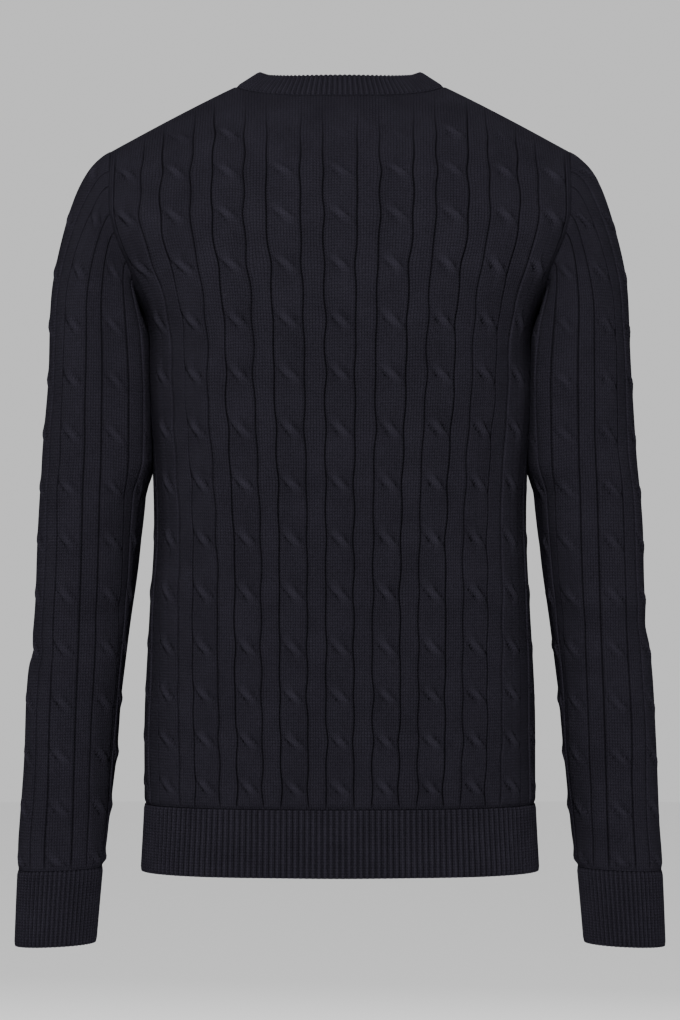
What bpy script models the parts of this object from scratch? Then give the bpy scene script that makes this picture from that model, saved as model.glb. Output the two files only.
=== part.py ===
"""A cable knit cardigan in its worn form, hollow, with no wearer.

Frame: metres, +Z up. The wearer would face -Y, so +X is the wearer's left. The origin is inside the
neck, at the height of the back neck seam, where a wearer's shoulders carry the garment.

Every panel is a thin wall whose outer points carry the relief of the knit, cables or ribs, over a
plain inside. A place on the torso is given by its wale and its height: wales are counted in cable
columns, from 0 at the centre back, over +5.5 at the left side seam, to 11 at the centre front.
"""

import functools
import math
from collections import namedtuple

import bmesh
import bpy
import numpy as np

MM = 0.001

# ---------------------------------------------------------------- cloth
SEAM_GAP = 0.3 * MM  # between two pieces that are sewn together
ARMHOLE_GAP = 0.4 * MM  # the same, where the seam bends most
WALL = 2.0 * MM  # thickness of the knit between its cables
CABLE_MIDDLE = 1.7 * MM  # height of a cable strand as it passes under
CABLE_SWING = 0.9 * MM  # how far a strand rises above or sinks below that
GROOVE = -0.5 * MM  # the purl groove on each side of a cable
STRAND = 0.14  # a strand's distance from its cable's middle, in columns
GROOVE_AT = 0.30  # a groove's distance from its cable's middle, in columns
COLUMN_LINES = ((-GROOVE_AT, 0), (-STRAND, -1), (STRAND, 1), (GROOVE_AT, 0))
HEM_RIB = 5.0 * MM  # from one rib to the next
BAND_RIB = 6.0 * MM
RIB_RISE = 0.9 * MM
RIB_SINK = -0.2 * MM
TOP_FADE = (2 * MM, 22 * MM)  # below a neckline or shoulder seam the relief grows over this stretch
ARMHOLE_FADE = (1 * MM, 16 * MM)  # the same, on a sleeve from its armhole seam
RIB_FADE = 7 * MM  # the same, next to a rib hem or cuff
BUNCHED_SHARE = 0.2  # of the relief is left where the cloth is bunched against its neighbour

# ---------------------------------------------------------------- torso
ARMPIT_Z = -190 * MM
UNDERARM_Z = -181 * MM  # a row of its own rounds the armhole there
YOKE_Z = -103 * MM  # from here up, wales run straight to the shoulder or the neck
HEM_TOP_Z = -604 * MM
HEM_BOTTOM_Z = -661 * MM
BACK_COLUMNS = 11  # cable columns across the back, and as many across the front
SIDE = BACK_COLUMNS / 2  # the side seam, in columns from the centre back
SECTION_POWER = 2.3  # 2 is an ellipse, more is squarer
ARCH_POWER = 1.67  # the same, for the profile from the armpit over the shoulder
RIDGE_TOP = 31.5 * MM  # the shoulder ridge, were it to run on to the centre
RIDGE_FALL = 0.5687
RIDGE_ROUND = 60 * MM

Girth = namedtuple("Girth", "height half_width back_depth front_depth")  # in mm
TORSO = (
    Girth(-661, 168.5, 86, 92),
    Girth(-604, 165.5, 86, 92),
    Girth(-520, 165.0, 92, 97),
    Girth(-440, 160.5, 100, 103),
    Girth(-384, 157.5, 106, 107),
    Girth(-330, 158.5, 112, 112),
    Girth(-260, 163.5, 120, 118),
    Girth(-190, 168.0, 125, 122),
    Girth(-150, 190.0, 125, 122),
    Girth(-103, 217.0, 125, 122),
    Girth(-60, 222.0, 125, 122),
    Girth(40, 222.0, 125, 122),
)

# Height in mm of each row of cable crossings, from the hem up, as seen at the centre back.
CROSSINGS = (-586, -547, -509, -469, -424, -379, -333, -288, -243, -199, -153, -111, -74, -41)

# ---------------------------------------------------------------- neck, shoulder and armhole
YOKE_COLUMN = 47.0 * MM  # width of a column in the yoke
NECK_COLUMN = 1.88  # the wale that meets the neck point of the shoulder
NECK_HALF = 88.5 * MM
NECK_DEPTH = 58 * MM  # how far behind the shoulder ridge the back neckline lies
SHOULDER_FALL = 0.89  # sideways share of a step along the shoulder seam
ARMHOLE_FIXED = GROOVE_AT + 4  # wales beyond this one bunch up beside the armhole
BUNCHED = (4.9, 5.45)  # an armhole's edge at the first wale leaves no room for relief, at the second all

Armhole = namedtuple("Armhole", "height half_width")  # in mm
ARMHOLE = (
    Armhole(-190, 168.0),
    Armhole(-183, 170.0),
    Armhole(-172, 172.0),
    Armhole(-156, 175.5),
    Armhole(-129, 187.0),
    Armhole(-103, 194.0),
)

# ---------------------------------------------------------------- front bands and buttons
BAND = 24 * MM
WHOLE = math.inf  # ribbed all the way
SHORTEST_STEP = 6 * MM  # corners of a band's line nearer together than this are thinned out
FRONT_EDGE = 12 * MM  # half the band's width, where the front panels end
V_BOTTOM_Z = -215 * MM
V_FAN_Z = -244 * MM  # rows above this height bend up along the V
V_CURVE = 0.92  # under 1 rounds the V outwards
LAP = 3.6 * MM  # how far one band lies over the other
LAP_ENDS_Z = (-168 * MM, -110 * MM)
BUTTON_COUNT = 6
BUTTON_TOP_Z = -232 * MM
BUTTON_STEP = 80 * MM
BUTTON_RADIUS = 9 * MM
BUTTON_THICK = 3.2 * MM
BUTTON_SIDES = 12

# ---------------------------------------------------------------- sleeves
SLEEVE_COLUMN = 37.4 * MM
SLEEVE_COLUMNS = 4  # whole columns from the outer line to the underarm seam, on each side
SLEEVE_HALF = 168 * MM  # from the outer line to the underarm seam, at the biceps
CAP = 150 * MM  # length of the sleeve head along its outer line
SLEEVE_PITCH = 45.5 * MM  # from one crossing to the next
SLEEVE_FIRST = 141 * MM  # the crossing below the biceps that fixes the others
FACING_CLEARANCE = 1.7 * MM  # between the sleeve and the side of the body
SEAM_ROOM = (142 * MM, 156 * MM)  # half rings this long leave no room for the last cable, or all of it
HEAD_ROWS = 8  # rows of the sleeve head, all of which its inside has too
SLEEVE_NEAR = 145 * MM  # how far below the armpit the sleeve stays close to the body
FACING_ROUND = 2.5 * MM  # how softly the sleeve turns to follow the body's side
FACING_FADE = (3 * MM, 11 * MM)  # relief grows as the room beside the body does
RING_POWER = 2.15  # squareness of a sleeve's section, as SECTION_POWER is the torso's
HEAD_TOP = 0.35  # the sleeve head's rounded top reaches this share of the way down the armhole
HEAD_LIFT = 0.45  # how much the curves below that top lift off the panel as they leave it
LEAVING = (22 * MM, 88 * MM)  # pull of a head's curve at the armhole: everywhere, and more at the top
MEETING = (95 * MM, 25 * MM)  # the same where it meets the biceps ring
MEETING_LESS = 70 * MM  # and how much of that is lost towards the armpit

Station = namedtuple("Station", "outer_x outer_z inner_x inner_z half_depth middle_y")  # in mm
SLEEVE = (
    Station(242.5, -177, 164, -214, 56, 0),
    Station(248.5, -262, 161, -272, 53, 0),
    Station(254.5, -347, 165, -347, 48, -1),
    Station(260.5, -450, 178.5, -446, 43.5, -4),
    Station(266.5, -535, 188.5, -530, 40, -8),
    Station(271.5, -620, 198.5, -615, 36.5, -13),
    Station(274.5, -662, 203.0, -659, 35, -15.5),
    Station(277.5, -727, 209.0, -724, 34, -19),
)
CUFF_STATION = 6  # the station where the cuff is sewn on

Ring = namedtuple("Ring", "radius height")  # in shares of the button's radius and thickness
BUTTON_RINGS = (Ring(0.72, 0.0), Ring(0.95, 0.3), Ring(1.0, 0.65), Ring(0.86, 1.0), Ring(0.66, 0.72))

NAVY = (0.0125, 0.0120, 0.0190, 1.0)
BUTTON_NAVY = (0.010, 0.010, 0.014, 1.0)


# ---------------------------------------------------------------- small tools
def smooth(knots, values, at):
    """A cubic curve through the points (knots, values), level with its neighbours at each."""
    knots, values, at = (np.asarray(a, dtype=float) for a in (knots, values, at))
    slopes = np.gradient(values, knots)
    k = np.clip(np.searchsorted(knots, at) - 1, 0, len(knots) - 2)
    width = knots[k + 1] - knots[k]
    t = np.clip((at - knots[k]) / width, 0, 1)
    rise = values[k + 1] - values[k]
    start, end = slopes[k] * width, slopes[k + 1] * width
    return values[k] + t * start + t**2 * (3 * rise - 2 * start - end) + t**3 * (start + end - 2 * rise)


def column_of(table, name):
    """One named column of a table of sizes, in metres."""
    return np.array([getattr(row, name) for row in table]) * MM


def ease(low, high, value):
    """0 below low, 1 above high, and a soft step between."""
    t = np.clip((value - low) / (high - low), 0, 1)
    return t * t * (3 - 2 * t)


def unit(vector):
    return vector / np.maximum(np.linalg.norm(vector, axis=-1, keepdims=True), 1e-12)


def along(points):
    """Distance from the first point to each one, along their line."""
    return np.concatenate([[0], np.cumsum(np.linalg.norm(np.diff(points, axis=0), axis=1))])


def walk(points, distances):
    """The points at these distances along a line of points."""
    travelled = along(points)
    return np.stack([np.interp(distances, travelled, points[:, axis]) for axis in range(3)], axis=-1)


# ---------------------------------------------------------------- the torso's surface
def half_width(z):
    return smooth(column_of(TORSO, "height"), column_of(TORSO, "half_width"), z)


def depth(z, front):
    name = "front_depth" if front else "back_depth"
    return smooth(column_of(TORSO, "height"), column_of(TORSO, name), np.minimum(z, ARMPIT_Z))


def ridge(x):
    """Height of the shoulder ridge at a distance from the centre."""
    return RIDGE_TOP - RIDGE_FALL * (np.sqrt(x**2 + RIDGE_ROUND**2) - RIDGE_ROUND)


def arch(x, z):
    """How far up the arch from armpit to ridge a height lies, from 0 to 1, and what depth is left."""
    up = np.clip((z - ARMPIT_Z) / (ridge(x) - ARMPIT_Z), 0, 1)
    return up, (1 - up**ARCH_POWER) ** (1 / ARCH_POWER)


def torso_point(x, z, front):
    """A point on the torso, on its back or front half, at a distance from the centre and a height."""
    reach = np.clip(np.abs(x) / half_width(z), 0, 1)
    y = depth(z, front) * (1 - reach**SECTION_POWER) ** (1 / SECTION_POWER) * arch(x, z)[1]
    return np.stack(np.broadcast_arrays(x, -y if front else y, z), axis=-1).astype(float)


def torso_normal(x, z, front):
    """The outward direction there: the gradient of the section's and the arch's formulas."""
    step = 0.5 * MM
    wide, deep = half_width(z), depth(z, front)
    widening = (half_width(z + step) - half_width(z - step)) / (2 * step)
    deepening = (depth(z + step, front) - depth(z - step, front)) / (2 * step)
    up, left = arch(x, z)
    reach = np.clip(np.abs(x) / wide, 0, 1)
    share = (1 - reach**SECTION_POWER) ** (1 / SECTION_POWER)
    tall = ridge(x) - ARMPIT_Z
    ridge_slope = -RIDGE_FALL * np.abs(x) / np.sqrt(x**2 + RIDGE_ROUND**2)
    section, height = SECTION_POWER, ARCH_POWER
    out_x = reach ** (section - 1) / wide * left**height
    out_x -= share**section * up**height * ridge_slope / tall
    out_y = share ** (section - 1) * left ** (height - 1) / deep
    out_z = share**section * up ** (height - 1) / tall - left**height * (
        reach**section * widening / wide + share**section * deepening / deep
    )
    return unit(np.stack([np.sign(x) * out_x, -out_y if front else out_y, out_z], axis=-1))


@functools.lru_cache(maxsize=None)
def half_section(z, front):
    """A line of points round one quarter of the torso, from the centre to the side, at a height."""
    x = half_width(z) * np.sin(np.linspace(0, math.pi / 2, 240))
    points = torso_point(x, np.full_like(x, z), front)
    return points[:, 0], along(points)


@functools.lru_cache(maxsize=None)
def wale_x(column, z, front):
    """Distance from the centre of the wale that is so many columns from it, at a height."""
    if z > YOKE_Z:
        low = wale_x(column, YOKE_Z, front)
        high = NECK_HALF * column / NECK_COLUMN
        if column > NECK_COLUMN:
            high = NECK_HALF + YOKE_COLUMN * SHOULDER_FALL * (column - NECK_COLUMN)
        return low + (high - low) * (z - YOKE_Z) / (plain_top(column, front) - YOKE_Z)
    x, distance = half_section(z, front)
    side_width = half_section(ARMPIT_Z, front)[1][-1] / SIDE
    if z <= ARMPIT_Z:
        side_width = distance[-1] / SIDE
    width = side_width + (YOKE_COLUMN - side_width) * ease(ARMPIT_Z, YOKE_Z, z)
    return float(np.interp(column * width, distance, x))


@functools.lru_cache(maxsize=None)
def plain_top(column, front):
    """Height where a wale ends at the shoulder seam or, inside the neck point, at the back neckline."""
    if column >= NECK_COLUMN:
        return float(ridge(NECK_HALF + YOKE_COLUMN * SHOULDER_FALL * (column - NECK_COLUMN)))
    x = NECK_HALF * column / NECK_COLUMN
    behind = NECK_DEPTH * math.sqrt(max(1 - (x / NECK_HALF) ** 2, 0))
    share = behind / float(torso_point(np.array(x), np.array(ARMPIT_Z), False)[1])
    share = min(share * float(half_share(x)), 1)
    return float(ARMPIT_Z + (ridge(x) - ARMPIT_Z) * (1 - share**ARCH_POWER) ** (1 / ARCH_POWER))


def half_share(x):
    """The section's depth at the armpit's height, as a share of its depth under the neck."""
    low, high, power = half_width(ARMPIT_Z), half_width(0.0), SECTION_POWER
    return ((1 - (x / low) ** power) / (1 - (x / high) ** power)) ** (1 / power)


def v_top(column):
    """Height where a front wale ends at the V neckline."""
    first = FRONT_EDGE / YOKE_COLUMN
    share = np.clip((column - first) / (NECK_COLUMN - first), 0, 1)
    return V_BOTTOM_Z + (plain_top(NECK_COLUMN, True) - V_BOTTOM_Z) * float(share) ** (1 / V_CURVE)


def armhole_column(z, front):
    """The wale on which the armhole's edge lies, at a height."""
    half_seam = SEAM_GAP / 2
    if z <= ARMPIT_Z:
        return SIDE - half_seam * SIDE / half_section(z, front)[1][-1]
    level = min(z, YOKE_Z)
    edge = smooth(column_of(ARMHOLE, "height"), column_of(ARMHOLE, "half_width"), level)
    x, distance = half_section(level, front)
    side_width = half_section(ARMPIT_Z, front)[1][-1] / SIDE
    width = side_width + (YOKE_COLUMN - side_width) * ease(ARMPIT_Z, YOKE_Z, level)
    return float(np.interp(edge, x, distance) / width)


def top_of(wale, front):
    """Height where a wale ends, at the neckline or the shoulder seam."""
    if front and wale < NECK_COLUMN:
        return v_top(wale)
    return plain_top(min(wale, armhole_column(YOKE_Z, front)), front)


@functools.lru_cache(maxsize=None)
def fanned_height(wale, fan_from, share, front):
    """The height a share of the way along a wale's curve, from the fan's foot to the wale's top."""
    z = fan_from + (top_of(wale, front) - fan_from) * np.sin(np.linspace(0, math.pi / 2, 40))
    x = np.array([wale_x(wale, height, front) for height in z])
    travelled = along(torso_point(x, z, front))
    return float(np.interp(share * travelled[-1], travelled, z))


def panel_place(column, row_height, front):
    """Where a grid line and a row of a panel meet: the wale and the height, in the cloth's measure."""
    fan_from = V_FAN_Z if front and column < NECK_COLUMN else YOKE_Z
    wale = column
    if column > ARMHOLE_FIXED:
        edge = armhole_column(min(row_height, YOKE_Z), front)
        wale = ARMHOLE_FIXED + (column - ARMHOLE_FIXED) * (edge - ARMHOLE_FIXED) / (SIDE - ARMHOLE_FIXED)
    if row_height <= fan_from:
        return wale, row_height
    return wale, fanned_height(wale, fan_from, (row_height - fan_from) / -fan_from, front)


def place_on_front_edge(z):
    """The wale of the straight front edge, at a height."""
    x, distance = half_section(z, True)
    return float(np.interp(FRONT_EDGE, x, distance)) / (half_section(z, True)[1][-1] / SIDE)


# ---------------------------------------------------------------- relief of the knit
def crossing_phase(z):
    """How many cable crossings lie below a height, with a fraction."""
    heights = np.array(CROSSINGS) * MM
    below = (z - heights[0]) / (heights[1] - heights[0])
    above = len(CROSSINGS) - 1 + (z - heights[-1]) / (heights[-1] - heights[-2])
    inside = np.interp(z, heights, np.arange(len(CROSSINGS)))
    return np.where(z < heights[0], below, np.where(z > heights[-1], above, inside))


def height_of_phase(phase):
    heights = np.array(CROSSINGS) * MM
    last = len(CROSSINGS) - 1
    if phase < 0:
        return heights[0] + phase * (heights[1] - heights[0])
    if phase > last:
        return heights[-1] + (phase - last) * (heights[-1] - heights[-2])
    return float(np.interp(phase, np.arange(len(CROSSINGS)), heights))


def strand_rise(side, phase):
    """Height of one strand of a cable: the strand on the outside viewer's left comes up first."""
    return CABLE_MIDDLE + CABLE_SWING * np.cos(2 * math.pi * (phase - 0.25 * side))


# ---------------------------------------------------------------- meshes
def zip_edges(first, first_marks, second, second_marks):
    """Triangles between two edges, each a list of points with its place along the edge."""
    faces, i, j = [], 0, 0
    while i < len(first) - 1 or j < len(second) - 1:
        step_first = j == len(second) - 1 or (
            i < len(first) - 1 and first_marks[i + 1] <= second_marks[j + 1]
        )
        if step_first:
            faces.append((first[i], first[i + 1], second[j]))
            i += 1
        else:
            faces.append((first[i], second[j + 1], second[j]))
            j += 1
    return faces


def squares(ids):
    """The corners of each square of a grid, in order round it, with its row and column."""
    for i in range(ids.shape[0] - 1):
        for j in range(ids.shape[1] - 1):
            yield i, j, (ids[i, j], ids[i, j + 1], ids[i + 1, j + 1], ids[i + 1, j])


def wall(name, outer, rise, inner, kept_rows, kept_columns, closed=False):
    """One closed wall of knit between an outer grid of points and a coarser inner one.

    rise is the relief of the outer points: each square is cut along its higher diagonal. A closed
    wall is a tube, whose last column of points is joined to its first.
    """
    rows, columns = outer.shape[:2]
    outer_ids = np.arange(rows * columns).reshape(rows, columns)
    inner_ids = rows * columns + np.arange(inner.shape[0] * inner.shape[1]).reshape(inner.shape[:2])
    column_marks, inner_marks = list(range(columns)), list(kept_columns)
    if closed:
        outer_ids = np.hstack([outer_ids, outer_ids[:, :1]])
        inner_ids = np.hstack([inner_ids, inner_ids[:, :1]])
        rise = np.hstack([rise, rise[:, :1]])
        column_marks.append(columns)
        inner_marks.append(columns)
    faces = []
    for i, j, (a, b, c, d) in squares(outer_ids):
        if rise[i, j] + rise[i + 1, j + 1] >= rise[i, j + 1] + rise[i + 1, j]:
            faces += [(a, b, c), (a, c, d)]
        else:
            faces += [(a, b, d), (b, c, d)]
    for _, _, (a, b, c, d) in squares(inner_ids):
        faces += [(a, c, b), (a, d, c)]
    for end in (0, -1):
        faces += zip_edges(outer_ids[end], column_marks, inner_ids[end], inner_marks)
    if not closed:
        for end in (0, -1):
            faces += zip_edges(outer_ids[:, end], list(range(rows)), inner_ids[:, end], list(kept_rows))
    points = np.vstack([outer.reshape(-1, 3), inner.reshape(-1, 3)])
    add_object(name, points, faces, NAVY, "knit")


def add_object(name, points, faces, colour, finish):
    """A mesh object with its faces turned outwards and a material of its own."""
    mesh = bpy.data.meshes.new(name)
    mesh.from_pydata(points.tolist(), [], [tuple(int(i) for i in face) for face in faces])
    work = bmesh.new()
    work.from_mesh(mesh)
    bmesh.ops.recalc_face_normals(work, faces=work.faces)
    if work.calc_volume(signed=True) < 0:
        bmesh.ops.reverse_faces(work, faces=work.faces)
    work.to_mesh(mesh)
    work.free()
    shade = bpy.data.materials.new(f"{name}_{finish}")
    shade.use_nodes = True
    surface = shade.node_tree.nodes["Principled BSDF"]
    surface.inputs["Base Color"].default_value = colour
    surface.inputs["Roughness"].default_value = 0.9 if finish == "knit" else 0.35
    surface.inputs["Metallic"].default_value = 0.0
    mesh.materials.append(shade)
    made = bpy.data.objects.new(name, mesh)
    bpy.context.scene.collection.objects.link(made)


# ---------------------------------------------------------------- the back and the fronts
def panel_lines(front):
    """The grid lines of half a panel, from its centre or front edge to the side seam.

    Each is its wale, the side of the cable it lies on (0 for none), and whether the inside has it.
    """
    lines = []
    first_cable = 1 if front else 0
    for cable in range(first_cable, (BACK_COLUMNS + 1) // 2):
        for offset, strand in COLUMN_LINES:
            column = cable + offset
            on_neck_point = abs(column - NECK_COLUMN) < 0.03
            if on_neck_point:
                column = NECK_COLUMN
            if column >= 0:
                lines.append((column, strand, strand == 0 or on_neck_point))
    lines.append((SIDE, 0, True))
    return lines


def row_heights():
    """Two rows for each crossing, a quarter of a pitch below and above it, from hem to neck."""
    inside = [height_of_phase(k + part) for k in range(-1, len(CROSSINGS)) for part in (0.25, 0.75)]
    nearest = int(np.argmin(np.abs(np.array(inside) - ARMPIT_Z)))
    inside[nearest] = ARMPIT_Z
    inside.insert(nearest + 1, UNDERARM_Z)
    low, high = HEM_TOP_Z + 9 * MM, -12 * MM  # rows nearer to an edge than these are left out
    return [HEM_TOP_Z + SEAM_GAP / 2] + [z for z in inside if low < z < high] + [0.0]


def back_lines():
    """The grid lines of the back from right to left: wale, side of x, strand, and whether inside."""
    half = panel_lines(False)
    left = [(column, 1, strand, kept) for column, strand, kept in half]
    right = [(column, -1, -strand, kept) for column, strand, kept in reversed(half) if column > 0]
    return right + left


def front_lines(side):
    """The same for one front. The first line, with no wale, is the edge beside the band."""
    return [(None, side, 0, True)] + [
        (column, side, strand, kept) for column, strand, kept in panel_lines(True)
    ]


def panel(name, front, lines):
    """The back or a front on its grid lines. Gives its plain points and its outward directions."""
    heights = row_heights()
    plain = np.zeros((len(heights), len(lines), 3))
    normals, rise = plain.copy(), np.zeros(plain.shape[:2])
    for j, (column, side, strand, _) in enumerate(lines):
        for i, height in enumerate(heights):
            if column is None:
                wale, z = front_edge_place(height)
                x = FRONT_EDGE
            else:
                wale, z = panel_place(column, height, front)
                x = wale_x(wale, z, front)
            at_x, at_z = np.array(side * x), np.array(float(z))
            plain[i, j] = torso_point(at_x, at_z, front)
            normals[i, j] = torso_normal(at_x, at_z, front)
            rise[i, j] = panel_rise(wale, z, strand, side, front, height)
    shift_seam_edges(plain, front)
    outer = plain + normals * rise[..., None]
    kept_columns = [j for j, line in enumerate(lines) if line[3]]
    kept_rows = [i for i, z in enumerate(heights) if i % 2 == 0 or z > ARMPIT_Z - 10 * MM]
    inner = (plain - normals * WALL)[np.ix_(kept_rows, kept_columns)]
    wall(name, outer, rise, inner, kept_rows, kept_columns)
    return plain, normals


def front_edge_place(height):
    """Where the front edge's grid line meets a row: beside the band, and bunched under the V."""
    z = height
    if height > V_FAN_Z:
        z = V_FAN_Z + (V_BOTTOM_Z - V_FAN_Z) * (height - V_FAN_Z) / -V_FAN_Z
    return place_on_front_edge(z), z


def shift_seam_edges(points, front):
    """Keeps half a seam's gap at the shoulder ridge, where the back meets the fronts."""
    sign = -1 if front else 1
    points[-1, :, 1] = sign * np.maximum(sign * points[-1, :, 1], SEAM_GAP / 2)


def panel_rise(wale, z, strand, side, front, row_height):
    """Relief of a panel at a grid point: a groove or a strand, faded out at its edges."""
    turn = -side if front else 1  # wales run the other way round on the wearer's left front
    high = GROOVE if strand == 0 else float(strand_rise(strand * turn, crossing_phase(z)))
    edge = armhole_column(z, front)
    keep = float(ease(*TOP_FADE, top_of(wale, front) - z)) * float(ease(0, RIB_FADE, z - HEM_TOP_Z))
    if wale > ARMHOLE_FIXED:
        keep *= float(ease(*BUNCHED, edge))
        if z > ARMPIT_Z - SLEEVE_NEAR:
            keep *= BUNCHED_SHARE
    on_edge = wale >= edge - 1e-6 or row_height >= 0
    return 0.0 if on_edge else high * keep


# ---------------------------------------------------------------- sleeves
def torso_side(y, z):
    """Distance from the centre to the side of the torso, at a place in front of or behind its seam."""
    deep = np.where(y < 0, depth(z, True), depth(z, False))
    share = np.clip(np.abs(y) / deep, 0, 1)
    return half_width(np.minimum(z, ARMPIT_Z)) * (1 - share**SECTION_POWER) ** (1 / SECTION_POWER)


def station_distances():
    middle = np.array([((s.outer_x + s.inner_x) / 2, (s.outer_z + s.inner_z) / 2, 0) for s in SLEEVE])
    return along(middle * MM)


@functools.lru_cache(maxsize=None)
def sleeve_ring(distance, back):
    """Half a ring of the left sleeve, from its outer line to the underarm seam.

    The ring is a rounded box between the sleeve's outer and inner lines. Where it would press into
    the body it follows the body's side at a small clearance.
    """
    at = station_distances()
    size = {name: smooth(at, column_of(SLEEVE, name), distance) for name in Station._fields}
    turn = np.linspace(0, math.pi, 161)
    power = 2 / RING_POWER
    across = np.sign(np.cos(turn)) * np.abs(np.cos(turn)) ** power
    aside = np.sin(turn) ** power * (1 if back else -1)
    x = (size["outer_x"] + size["inner_x"]) / 2 + across * (size["outer_x"] - size["inner_x"]) / 2
    z = (size["outer_z"] + size["inner_z"]) / 2 + across * (size["outer_z"] - size["inner_z"]) / 2
    y = size["middle_y"] + aside * size["half_depth"]
    least = torso_side(y, z) + FACING_CLEARANCE
    x = (x + least + np.sqrt((x - least) ** 2 + FACING_ROUND**2)) / 2
    return np.stack([x, y, z], axis=-1)


def armhole_loop(back_panel, front_panel):
    """The armhole's edge on the left, from the shoulder point down to the armpit, behind and in front.

    Each is the points, the outward directions, and the directions that lead on from the panel.
    """
    halves = []
    for plain, normals in (back_panel, front_panel):
        start = int(np.argmin(np.abs(plain[:, -1, 2] - ARMPIT_Z)))
        points, outward = plain[start:, -1][::-1], normals[start:, -1][::-1]
        tangent = unit(np.gradient(points, axis=0))
        onward = unit(np.cross(outward, tangent))
        onward *= np.sign(np.sum(onward * (points - plain[start:, -2][::-1]), axis=1, keepdims=True))
        onward[-1] = (0.0, 0.0, 1.0)
        onward[0] = unit(onward[0] * (1, 0, 1))
        halves.append((points, outward, onward))
    return halves


def sleeve_lines():
    """The sleeve's grid lines on one half: distance from the outer line at the biceps, and strand."""
    lines = [(0.0, 0)]
    for cable in range(SLEEVE_COLUMNS):
        for offset, strand in COLUMN_LINES:
            lines.append(((cable + 0.5 + offset) * SLEEVE_COLUMN, strand))
    return lines


def snapped_shares(lines, loop):
    """Each line's share of the way down the armhole, moved to the nearest corner of its edge."""
    travelled = along(loop[0])
    corners = travelled[1:-1] / travelled[-1]
    shares = np.array([distance / SLEEVE_HALF for distance, _ in lines])
    for corner in corners:
        shares[1 + int(np.argmin(np.abs(shares[1:] - corner)))] = corner
    return shares


def head_point(loop, share, low, low_pull, part):
    """A point of the sleeve head: a curve from the armhole's edge to the ring at the biceps."""
    points, outward, onward = loop
    travelled = along(points)
    here = share * travelled[-1]
    start = walk(points, here)
    lead = np.array([np.interp(here, travelled, onward[:, a]) for a in range(3)])
    out = np.array([np.interp(here, travelled, outward[:, a]) for a in range(3)])
    top = 1 - float(ease(0.0, HEAD_TOP, share))
    pull = unit(lead + HEAD_LIFT * (1 - top) * out) * (LEAVING[0] + LEAVING[1] * top)
    start = start + unit(lead) * ARMHOLE_GAP
    left = 1 - part
    from_start = (1 + 2 * part) * left**2 * start + part * left**2 * pull
    return from_start + part**2 * (3 - 2 * part) * low - part**2 * left * low_pull


def sleeve_grid(loops, rows, nudge=(0.0, 0.0)):
    """Points of the left sleeve's grid. nudge moves every place along the lines and down the rows."""
    lines = sleeve_lines()
    halves = []
    for back, loop in ((True, loops[0]), (False, loops[1])):
        shares = snapped_shares(lines, loop)
        shares = np.append(shares, 1.0)
        distances = np.append(np.array([distance for distance, _ in lines]), SLEEVE_HALF)
        grid = np.zeros((len(rows), len(shares), 3))
        for i, row in enumerate(rows):
            for j, (share, distance) in enumerate(zip(shares, distances)):
                grid[i, j] = sleeve_place(loop, back, share, distance, row, nudge)
        halves.append(grid)
    back, front = halves
    return np.concatenate([back, front[:, -2:0:-1]], axis=1)


def sleeve_place(loop, back, share, distance, row, nudge):
    """One point of the sleeve, from its line and its row; rows above 0 are in the sleeve head."""
    along_line = np.clip(distance + nudge[0], -2 * MM, SLEEVE_HALF)
    moved_row = row + nudge[1]
    if moved_row >= 0:
        return on_ring(back, along_line, moved_row)
    low = on_ring(back, along_line, 0.0)
    below = on_ring(back, along_line, 2 * MM)
    top = 1 - float(ease(0.0, HEAD_TOP, share))
    reach = MEETING[0] + MEETING[1] * top - MEETING_LESS * float(ease(0.55, 1.0, share))
    low_pull = unit(below - low) * reach
    moved_share = np.clip(share + nudge[0] / SLEEVE_HALF, 0, 1)
    part = np.clip(1 + moved_row / CAP, 0, 1)
    return head_point(loop, moved_share, low, low_pull, part)


def on_ring(back, distance, row):
    """A point on a sleeve ring. Wales near the outer line stay put; the rest bunch at the seam."""
    ring = sleeve_ring(round(row, 7), back)
    total = along(ring)[-1]
    fixed = (SLEEVE_COLUMNS - 1.5 + GROOVE_AT) * SLEEVE_COLUMN
    if distance > fixed:
        distance = fixed + (distance - fixed) * (total - fixed) / (SLEEVE_HALF - fixed)
    return walk(ring, max(distance, 0.0))


def sleeve_rows():
    """Rows of the sleeve, in metres below the biceps ring, two for each crossing."""
    end = station_distances()[CUFF_STATION] - SEAM_GAP / 2
    first = math.ceil((-CAP + 14 * MM - SLEEVE_FIRST) / SLEEVE_PITCH * 2)
    last = math.floor((end - 9 * MM - SLEEVE_FIRST) / SLEEVE_PITCH * 2)
    inside = [SLEEVE_FIRST + (k + 0.5) * SLEEVE_PITCH / 2 for k in range(first, last)]
    head = [-CAP, -CAP + 5 * MM]
    return head + [row for row in inside if -CAP + 12 * MM < row < end - 8 * MM] + [end]


def sleeve_normals(plain, rows, loops):
    """Outward directions of the sleeve's grid. Along the armhole they are those of the panels."""
    step = 0.4 * MM
    down = sleeve_grid(loops, rows, (0, step)) - sleeve_grid(loops, rows, (0, -step))
    across = sleeve_grid(loops, rows, (step, 0)) - sleeve_grid(loops, rows, (-step, 0))
    seam = len(sleeve_lines())
    across[:, seam + 1 :] *= -1
    across[:, seam] = across[:, seam - 1] + across[:, seam + 1]
    across[:, 0] = across[:, 1] + across[:, -1]
    normals = unit(np.cross(down, across))
    normals[:, seam] = unit(normals[:, seam - 1] + normals[:, seam + 1])
    for j in range(plain.shape[1]):
        loop = loops[0] if j <= seam else loops[1]
        travelled = along(loop[0])
        shares = np.append(snapped_shares(sleeve_lines(), loop), 1.0)
        here = shares[j if j <= seam else 2 * seam - j] * travelled[-1]
        normals[0, j] = unit(np.array([np.interp(here, travelled, loop[1][:, a]) for a in range(3)]))
    return normals


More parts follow.
